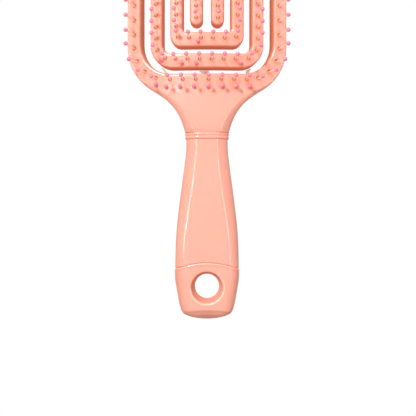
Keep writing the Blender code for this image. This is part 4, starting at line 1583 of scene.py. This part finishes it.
@dataclass
class Handle:
    """Collar, hollow grip and end cap with its hanging hole."""

    grip_end: float = -0.1140014
    grip_length: float = 0.0963
    cap_length: float = 0.0306
    seam_sag: float = 0.0035
    half_width: float = 0.0171
    front_depth: float = 0.0095
    neck_half_width: float = 0.01115
    neck_depth: float = 0.0062
    wall: float = 0.0020
    gap: float = 0.0003
    cap_step: float = 0.0002
    spigot_length: float = 0.006
    collar_rise: float = 0.0006
    back_panel_share: float = 0.45
    hole_inset: float = 0.0174
    hole_radius: float = 0.0065
    hole_flare: float = 0.0031
    quarter_steps: int = 12
    round_steps: int = 6
    panel_steps: int = 8
    facet_turn: float = math.radians(34)
    facet_end_share: float = 0.94
    facet_drop_share: float = 0.62
    crease_share: float = 0.50
    side_share: float = 0.45
    rim_drop: float = 0.00003
    # Painted shade on the hanging hole's wall, darkest on the side away from the light, and a
    # painted highlight on its rim and on the cap's seam edge; painted shade on the sides of the
    # grip, collar and cap.
    hole_wall_painted_shade: float = 1.0
    least_hole_wall_painted_shade: float = 0.12
    shaded_way: tuple = (-0.45, 0.89)
    edge_painted_highlight: float = -0.55
    cap_painted_shade: float = 1.5
    end_painted_shade: float = 0.15
    side_painted_shade_start: float = 0.98
    side_painted_shade_most: float = 0.78
    edge: float = 0.0002
    cap_panel: float = 0.70
    collar_panel: float = 0.5
    crease_run: float = 0.4
    panel_flat: float = 0.97
    side_corner: float = 0.5
    grip_steps: int = 8
    cap_steps: int = 7
    collar_steps: int = 32
    collar_upper_gap: float = 0.00005
    collar_lower_gap: float = 0.00022
    collar_lift: float = 0.0001
    bead_power: float = 0.7
    bead_floor: float = 0.35
    throat_widening: float = 0.0002
    throat_share: float = 0.12
    flare_power: float = 1.1
    hole_sides: int = 72
    cutter_reach: float = 0.003
    painted_highlight_rings: tuple = (3, 9)
    bend_start: float = 0.5
    chamfer: tuple = (
        (0.00000, 0.00040),
        (0.00004, 0.00034),
        (0.00010, 0.00029),
        (0.00018, 0.00025),
        (0.00040, 0.00017),
        (0.00062, 0.00010),
        (0.00080, 0.00006),
        (0.00095, 0.00003),
        (0.00115, 0.00001),
    )
    grip_shares: tuple = (
        (0.00, 0.00, 0.00, 0.00, 0.50),
        (0.09, 0.01, 0.06, 0.08, 0.50),
        (0.20, 0.16, 0.21, 0.34, 0.52),
        (0.35, 0.39, 0.45, 0.74, 0.55),
        (0.50, 0.62, 0.68, 1.00, 0.60),
        (0.65, 0.82, 0.86, 1.00, 0.64),
        (0.80, 0.95, 0.97, 1.00, 0.68),
        (1.00, 1.00, 1.00, 1.00, 0.70),
    )
    cap_shares: tuple = (
        (0.000, 1.000, 1.00),
        (0.220, 0.994, 1.00),
        (0.470, 0.940, 0.99),
        (0.680, 0.883, 0.955),
        (0.790, 0.836, 0.930),
        (0.815, 0.823, 0.922),
        (0.860, 0.790, 0.83),
        (0.905, 0.720, 0.74),
        (0.945, 0.560, 0.60),
        (0.977, 0.345, 0.42),
        (1.000, 0.140, 0.16),
    )
    sag_share: float = 0.6
    end_sag: float = 0.0022
    break_share: float = 0.815

    @cached_property
    def cap_rows(self) -> list:
        """Rows of the end cap: share of its length, of its width and of its depth."""
        return through(self.cap_shares, self.cap_steps)

    @property
    def hole_rim(self) -> float:
        """Radius of the hanging hole at the faces of the cap."""
        return self.hole_radius + self.hole_flare

    @property
    def hole_centre(self) -> tuple:
        """Middle of the hanging hole."""
        return (0.0, self.grip_end + self.hole_inset)

    @property
    def grip_start(self) -> float:
        """Where the grip begins, below the collar."""
        return self.grip_end + self.grip_length

    @property
    def seam_y(self) -> float:
        """Where the grip meets the cap, on the axis."""
        return self.grip_end + self.cap_length

    def shoulder(self, half_width: float, front: float, panel: float) -> list:
        """Right half of the front of a section: flat panel, crease, facet and rounded side.

        Args:
            half_width: Half of the section's width.
            front: Depth in front of the middle.
            panel: Share of the half width that the front panel takes.

        Returns:
            Places across and in depth, from the axis to the side.
        """
        crease_x = half_width * panel
        edge_x = half_width * self.facet_end_share
        slope = math.tan(self.facet_turn)
        drop = min((edge_x - crease_x) * slope, front * self.facet_drop_share)
        corners = [Vector((0, front)), Vector((crease_x, front))]
        side_x = edge_x + (half_width - edge_x) * self.side_corner
        corners += [Vector((side_x, front - drop)), Vector((half_width, 0))]
        crease_reach = self.crease_share * self.crease_run
        flat_share = (1 - crease_reach) * self.panel_flat
        points = []
        for step in range(self.panel_steps + 1):
            points.append(corners[0].lerp(corners[1], flat_share * step / self.panel_steps))
        bends = ((1, crease_reach, self.crease_share), (2, self.side_share, self.side_share))
        for index, reach_back, reach_on in bends:
            corner = corners[index]
            first = corner.lerp(corners[index - 1], reach_back)
            last = corner.lerp(corners[index + 1], reach_on)
            for step in range(self.round_steps + 1):
                t = step / self.round_steps
                s = 1 - t
                points.append(first * s * s + corner * 2 * s * t + last * t * t)
        return points

    def section(
        self, y: float, half_width: float, front: float, back: float, panel: float, sag: float = 0.0
    ) -> list:
        """A ring of points: flat front panel with faceted sides, and a rounded back.

        Args:
            y: Place along the brush.
            half_width: Half of the section's width.
            front: Depth in front of the middle.
            back: Depth behind the middle.
            panel: Share of the half width that the front panel takes.
            sag: How far the ring drops at its sides.

        Returns:
            The points.
        """
        right = self.shoulder(half_width, front, panel)
        flat = self.back_panel_share
        for step in range(self.quarter_steps + 1):
            angle = QUARTER * step / self.quarter_steps
            x = half_width * (flat + (1 - flat) * math.cos(angle))
            right.append(Vector((x, -back * math.sin(angle))))
        ring = []
        for point in right + mirrored(right[1:]):
            drop = sag * (point.x / half_width) ** 2
            ring.append(Vector((point.x, y - drop, CROWN.mid_z + point.y)))
        return ring

    def grip_ring(self, shares: tuple, inward: float, shift: float = 0.0) -> list:
        """Section of the grip at one row of its table, drawn in and moved along.

        Args:
            shares: The row of the table.
            inward: How far the section is drawn in.
            shift: How far it is moved along the brush.

        Returns:
            The ring of points.
        """
        along, width_share, front_share, back_share, panel = shares
        half_width = self.neck_half_width + (self.half_width - self.neck_half_width) * width_share
        front = self.neck_depth + (self.front_depth - self.neck_depth) * front_share
        back = self.neck_depth + (CROWN.mid_z - self.neck_depth) * back_share
        start = self.grip_start - self.gap
        y = start + (self.seam_y - start) * along + shift
        sag = self.seam_sag * along
        return self.section(y, half_width - inward, front - inward, back - inward, panel, sag)

    def grip(self, material: bpy.types.Material) -> bpy.types.Object:
        """The hollow grip, with softened edges at both ends.

        Args:
            material: The finish.

        Returns:
            The object.
        """
        rows = through(self.grip_shares, self.grip_steps)
        rings = [self.grip_ring(rows[0], self.edge)]
        rings += [self.grip_ring(rows[0], 0.0, -self.edge)]
        rings += [self.grip_ring(row, 0.0) for row in rows[1:-1]]
        rings += [self.grip_ring(rows[-1], 0.0, self.edge)]
        rings += [self.grip_ring(rows[-1], self.edge)]
        rings += [self.grip_ring(row, self.wall) for row in reversed(rows)]
        work = bmesh.new()
        loft(work, rings, True)
        # Painted shade on the grip's sides.
        paint_side_shade(work, self.side_painted_shade_start, self.side_painted_shade_most)
        return finished("grip", work, material)

    def collar(self, material: bpy.types.Material) -> bpy.types.Object:
        """The ring with two beads between the neck and the grip.

        Args:
            material: The finish.

        Returns:
            The object.
        """
        high = CROWN.neck_end - self.collar_upper_gap
        low = self.grip_start - self.collar_lower_gap
        rings = []
        for step in range(self.collar_steps + 1):
            along = step / self.collar_steps
            bead = abs(math.sin(2 * math.pi * along)) ** self.bead_power
            share = self.bead_floor + (1 - self.bead_floor) * bead
            if step in (0, self.collar_steps):
                share = 0.0
            rise = self.collar_lift + (self.collar_rise - self.collar_lift) * share
            y = high + (low - high) * along
            depth = self.neck_depth + rise
            half_width = self.neck_half_width + rise
            rings.append(self.section(y, half_width, depth, depth, self.collar_panel))
        for y in (low, high):
            depth = self.neck_depth - self.wall
            half_width = self.neck_half_width - self.wall
            rings.append(self.section(y, half_width, depth, depth, self.collar_panel))
        work = bmesh.new()
        loft(work, rings, True)
        # Painted shade on the collar's sides.
        paint_side_shade(work, self.side_painted_shade_start, self.side_painted_shade_most)
        return finished("collar", work, material)

    def cap_ring(self, shares: tuple, inward: float = 0.0, shift: float = 0.0) -> list:
        """Section of the end cap at one row of its table.

        Args:
            shares: The row of the table.
            inward: How far the section is drawn in.
            shift: How far it is moved along the brush.

        Returns:
            The ring of points, its front bent so that the panel ends in an arc.
        """
        along, width_share, depth_share = shares
        top = self.seam_y - self.gap
        y = top + (self.grip_end - top) * along + shift
        half_width = (self.half_width + self.cap_step) * width_share - inward
        front = (self.front_depth + self.cap_step) * depth_share - inward
        sag = self.seam_sag * max(0.0, 1 - along / self.sag_share)
        back = CROWN.mid_z * depth_share - inward
        ring = self.section(y, half_width, front, back, self.cap_panel, sag)
        bend = self.end_sag * smooth_share(self.bend_start, self.break_share, along)
        if bend:
            for point in ring:
                if point.z > CROWN.mid_z:
                    share = self.depth_share(y + bend * (point.x / self.half_width) ** 2)
                    point.z = CROWN.mid_z + (point.z - CROWN.mid_z) * share / depth_share
        return ring

    def depth_share(self, y: float) -> float:
        """Share of its full depth that the end cap has at one place along the brush.

        Args:
            y: The place.

        Returns:
            The share.
        """
        top = self.seam_y - self.gap
        along = (y - top) / (self.grip_end - top)
        for first, second in zip(self.cap_rows, self.cap_rows[1:]):
            if along <= second[0]:
                rise = second[2] - first[2]
                return first[2] + rise * (along - first[0]) / (second[0] - first[0])
        return self.cap_rows[-1][2]

    def hole_cutter(self) -> bpy.types.Object:
        """A cutter for the hanging hole: a throat that flares to both faces of the cap.

        Returns:
            The cutter.
        """
        half_depth = self.front_depth + self.cap_step
        rim = self.hole_rim
        throat = self.hole_radius + self.throat_widening
        throat_depth = half_depth * self.throat_share
        profile = []
        for share in (0, 0.5, 1):
            profile.append((self.hole_radius + self.throat_widening * share, throat_depth * share))
        edge, deep = self.chamfer[-1][0], self.chamfer[0][1]
        wall_top = half_depth - deep
        for share in (0.25, 0.5, 0.75, 1.0):
            reach = throat + (rim - edge - throat) * share**self.flare_power
            profile.append((reach, throat_depth + (wall_top - throat_depth) * share))
        for along, down in self.chamfer[1:]:
            profile.append((rim - edge + along, half_depth - down))
        profile = [(radius, -height) for radius, height in reversed(profile[1:])] + profile
        over = half_depth + self.cutter_reach
        profile = [(rim, -over)] + profile + [(rim, over)]
        work = bmesh.new()
        rings = []
        for radius, height in profile:
            ring = []
            full = half_depth if height > 0 else CROWN.mid_z
            for point in arc(self.hole_centre, radius, 0, 2 * math.pi, self.hole_sides)[:-1]:
                depth = full * self.depth_share(point.y) - self.rim_drop
                reach = height / half_depth * depth if abs(height) <= half_depth else height
                ring.append(Vector((point.x, point.y, CROWN.mid_z + reach)))
            rings.append(ring)
        loft(work, rings, False)
        return placed("hole_cutter", mesh_from("hole_cutter", work))

    def mark_hole(self, mesh: bpy.types.Mesh) -> None:
        """Paint shade on the wall of the hanging hole, darkest at the upper left away from the
        light, and a painted highlight on its rim, brightest at the lower right.

        Args:
            mesh: The cap's mesh, after the hole is cut.
        """
        edge = self.chamfer[-1][0]
        outside, painted_highlight = 0.00002, edge - 0.00001
        for vert, mark in zip(mesh.vertices, mesh.attributes["painted_shade"].data):
            across = vert.co.xy - Vector(self.hole_centre)
            inward = self.hole_rim - across.length
            if inward < outside:
                continue
            # hidden: how far this side of the hole faces away from the light.
            hidden = 0.5 + 0.5 * across.normalized().dot(Vector(self.shaded_way))
            if inward < painted_highlight:
                mark.value = self.edge_painted_highlight * (1 - hidden)
            else:
                share = self.least_hole_wall_painted_shade + (1 - self.least_hole_wall_painted_shade) * hidden
                mark.value = self.hole_wall_painted_shade * share

    def cap(self, material: bpy.types.Material) -> bpy.types.Object:
        """The end cap: a spigot inside the grip, a rounded end and the hanging hole.

        Args:
            material: The finish.

        Returns:
            The object.
        """
        inward = self.wall + self.gap
        half_width = self.half_width - inward
        front = self.front_depth - inward
        back = CROWN.mid_z - inward
        rings = []
        for y in (self.seam_y + self.spigot_length, self.seam_y - self.gap):
            rings.append(self.section(y, half_width, front, back, self.cap_panel, self.seam_sag))
        for along, down in self.chamfer:
            rings.append(self.cap_ring(self.cap_rows[0], down, -along))
        rings += [self.cap_ring(row) for row in self.cap_rows[1:]]
        work = bmesh.new()
        loft(work, rings, False)
        # Painted shade on the cap's sides and on its end, which looks away from the light; then a
        # painted highlight along the front edge at the seam.
        paint_side_shade(work, 1.0, self.cap_painted_shade, self.end_painted_shade)
        layer = work.verts.layers.float["painted_shade"]
        work.verts.ensure_lookup_table()
        first, last = (ring * len(rings[0]) for ring in self.painted_highlight_rings)
        for vert in work.verts[first:last]:
            if vert.normal.z > 0.5:
                vert[layer] = self.edge_painted_highlight
        cap = finished("end_cap_skin", work, material)
        cutter = self.hole_cutter()
        cut = cap.modifiers.new("hole", "BOOLEAN")
        cut.operation = "DIFFERENCE"
        cut.solver = "EXACT"
        cut.object = cutter
        mesh = settled(cap)
        bpy.data.objects.remove(cap)
        bpy.data.objects.remove(cutter)
        self.mark_hole(mesh)
        return smoothed("end_cap_skin", mesh)

    def build(self, finishes: Finishes) -> None:
        """Build the three pieces of the handle.

        Args:
            finishes: The finishes.
        """
        stand_for(self.collar(finishes.peach), "frame", "collar_ring")
        stand_for(self.grip(finishes.peach), "frame", "handle_sleeve")
        stand_for(self.cap(finishes.peach), "frame", "end_cap")


# Studio


@dataclass
class Studio:
    """Camera, lamps, floor and sky."""

    camera_place: tuple = (0.00053, -0.0547, 0.3894)
    lens: float = 61.0
    sensor: float = 36.0
    aim_y: float = -0.02
    clip: tuple = (0.01, 20.0)
    lamp_distance: float = 2.0
    sky_strength: float = 0.22
    gloss_share: float = 0.25
    floor_size: float = 4.0
    floor_drop: float = 0.0006
    floor_grey: float = 0.5
    floor_roughness: float = 0.9
    floor_glow: float = 1.03
    floor_share: float = 0.96
    white: tuple = (1.0, 1.0, 1.0, 1.0)

    def camera(self) -> None:
        """The camera straight in front of the brush."""
        data = bpy.data.cameras.new("camera")
        data.lens = self.lens
        data.sensor_width = self.sensor
        data.clip_start, data.clip_end = self.clip
        camera = placed("camera", data)
        camera.location = self.camera_place
        bpy.context.scene.camera = camera

    def lamp(self, name: str, direction: tuple, size: tuple, power: float) -> None:
        """A rectangular lamp that looks at the brush.

        Args:
            name: Name of the lamp.
            direction: Direction from the brush to the lamp.
            size: Sides of the lamp, across and along the brush.
            power: Power in watts.
        """
        data = bpy.data.lights.new(name, "AREA")
        data.shape = "RECTANGLE"
        data.size, data.size_y = size
        data.energy = power
        lamp = placed(name, data)
        away = Vector(direction).normalized()
        lamp.location = away * self.lamp_distance + Vector((0, self.aim_y, 0))
        across = Vector((0, 1, 0)).cross(away).normalized()
        lamp.rotation_euler = Matrix((across, away.cross(across), away)).transposed().to_euler()

    def shown_share(self, tree: bpy.types.NodeTree) -> bpy.types.Node:
        """How far a ray shows the white ground: fully to the camera, partly in gloss.

        Args:
            tree: Nodes of the material or the world.

        Returns:
            The node whose first output is the share, from 0 to 1.
        """
        path = add_node(tree, "ShaderNodeLightPath")
        gloss = add_node(tree, "ShaderNodeMath", {1: self.gloss_share}, operation="MULTIPLY_ADD")
        total = add_node(tree, "ShaderNodeMath", operation="ADD", use_clamp=True)
        wire(
            tree,
            (path, "Is Glossy Ray", gloss, 0),
            (path, "Is Camera Ray", gloss, 2),
            (gloss, 0, total, 0),
            (path, "Is Transmission Ray", total, 1),
        )
        return total

    def sky(self) -> None:
        """Even light all round, white where the camera sees it."""
        world = bpy.data.worlds.new("sky")
        world.use_nodes = True
        tree = world.node_tree
        back = tree.nodes["Background"]
        set_inputs(back, {"Color": self.white, "Strength": self.sky_strength})
        seen = add_node(tree, "ShaderNodeBackground", {"Color": self.white, "Strength": 1.0})
        mix = add_node(tree, "ShaderNodeMixShader")
        wire(
            tree,
            (self.shown_share(tree), 0, mix, "Fac"),
            (back, "Background", mix, 1),
            (seen, "Background", mix, 2),
            (mix, "Shader", tree.nodes["World Output"], "Surface"),
        )
        bpy.context.scene.world = world

    def floor(self) -> None:
        """A white floor that keeps a faint shadow."""
        work = bmesh.new()
        bmesh.ops.create_grid(work, x_segments=1, y_segments=1, size=self.floor_size)
        bmesh.ops.translate(work, verts=work.verts, vec=(0, 0, -self.floor_drop))
        material = bpy.data.materials.new("floor_white")
        material.use_nodes = True
        tree = material.node_tree
        paper = tree.nodes["Principled BSDF"]
        grey = (self.floor_grey, self.floor_grey, self.floor_grey, 1.0)
        set_inputs(paper, {"Base Color": grey, "Roughness": self.floor_roughness})
        glow = add_node(tree, "ShaderNodeEmission", {"Strength": self.floor_glow})
        share = add_node(tree, "ShaderNodeMath", {1: self.floor_share}, operation="MULTIPLY")
        mix = add_node(tree, "ShaderNodeMixShader")
        wire(
            tree,
            (self.shown_share(tree), 0, share, 0),
            (share, 0, mix, "Fac"),
            (paper, "BSDF", mix, 1),
            (glow, "Emission", mix, 2),
            (mix, "Shader", tree.nodes["Material Output"], "Surface"),
        )
        floor = finished("floor", work, material)

    def build(self) -> None:
        """Set up the whole studio."""
        self.camera()
        self.lamp("key_lamp", (-0.21, 0.46, 0.865), (0.19, 0.19), 26.5)
        self.lamp("left_strip", (-0.66, 0.26, 0.70), (0.20, 1.30), 9.5)
        self.lamp("right_strip", (0.62, 0.20, 0.75), (0.14, 1.50), 6.0)
        self.sky()
        self.floor()
        bpy.context.scene.view_settings.view_transform = "Standard"


# The brush


def middle_loop(head: HeadFrame) -> HeadLoop:
    """The larger loop, with three studs on its bottom bar and one in its left corner.

    Args:
        head: The frame that it hangs in.

    Returns:
        The loop.
    """
    gap = 0.0028
    stud_drop = 0.0021
    stud_inset = 0.0024
    stud_shares = (-0.44, -0.19, 0.58)
    turn = math.radians(233)
    loop = HeadLoop(
        "middle_loop",
        half_width=0.0307455,
        arm_width=0.00663,
        bottom=head.opening_bottom + gap,
        bar_width=0.0080,
        outer_corner=0.0125,
        inner_corner=0.005,
        row_inset=0.00335,
        row_rise=0.00475,
        row_corner=0.008,
        pitch=0.0064,
        bottom_pins=8,
        column_pins=11,
        shared_corner=True,
        row_shift=-0.0007,
    )
    row_y = loop.bottom + loop.row_rise - stud_drop
    loop.studs = [Vector((share * loop.half_width, row_y)) for share in stud_shares]
    radius = loop.outer_corner - stud_inset
    x = loop.outer_corner - loop.half_width + radius * math.cos(turn)
    y = loop.bottom + loop.outer_corner + radius * math.sin(turn)
    loop.studs.append(Vector((x, y)))
    return loop


def inner_loop(outer: HeadLoop) -> HeadLoop:
    """The smaller loop, with one stud on its bottom bar.

    Args:
        outer: The loop round it.

    Returns:
        The loop.
    """
    gap = 0.00335
    stud_drop = 0.0018
    stud_share = -0.24
    loop = HeadLoop(
        "inner_loop",
        half_width=0.0199059,
        arm_width=0.0069,
        bottom=outer.bottom + outer.bar_width + gap,
        bar_width=0.0080,
        outer_corner=0.0058,
        inner_corner=0.0020,
        row_inset=0.0035,
        row_rise=0.00468,
        row_corner=0.0025,
        pitch=0.0063,
        bottom_pins=6,
        column_pins=10,
        column_start=0.0037,
    )
    row_y = loop.bottom + loop.row_rise - stud_drop
    loop.studs = [Vector((stud_share * loop.half_width, row_y))]
    return loop


def main() -> None:
    """Build the brush and its studio."""
    logging.basicConfig(level=logging.INFO)
    Studio().build()
    finishes = Finishes()
    tree = pin_tree(finishes.nylon, finishes.pink)
    head = HeadFrame()
    head.build(finishes, tree)
    middle = middle_loop(head)
    middle.build(finishes, tree)
    inner_loop(middle).build(finishes, tree)
    HeadFinger("left_finger", -1).build(finishes, tree)
    HeadFinger("right_finger", 1).build(finishes, tree)
    Handle().build(finishes)
    for name in ("bridge_web_left", "bridge_web_centre", "bridge_web_right"):
        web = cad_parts[name]
        web.data.materials.clear()
        web.data.materials.append(finishes.web)
        log.info("%s keeps its solid", name)


if __name__ == "__main__":
    main()
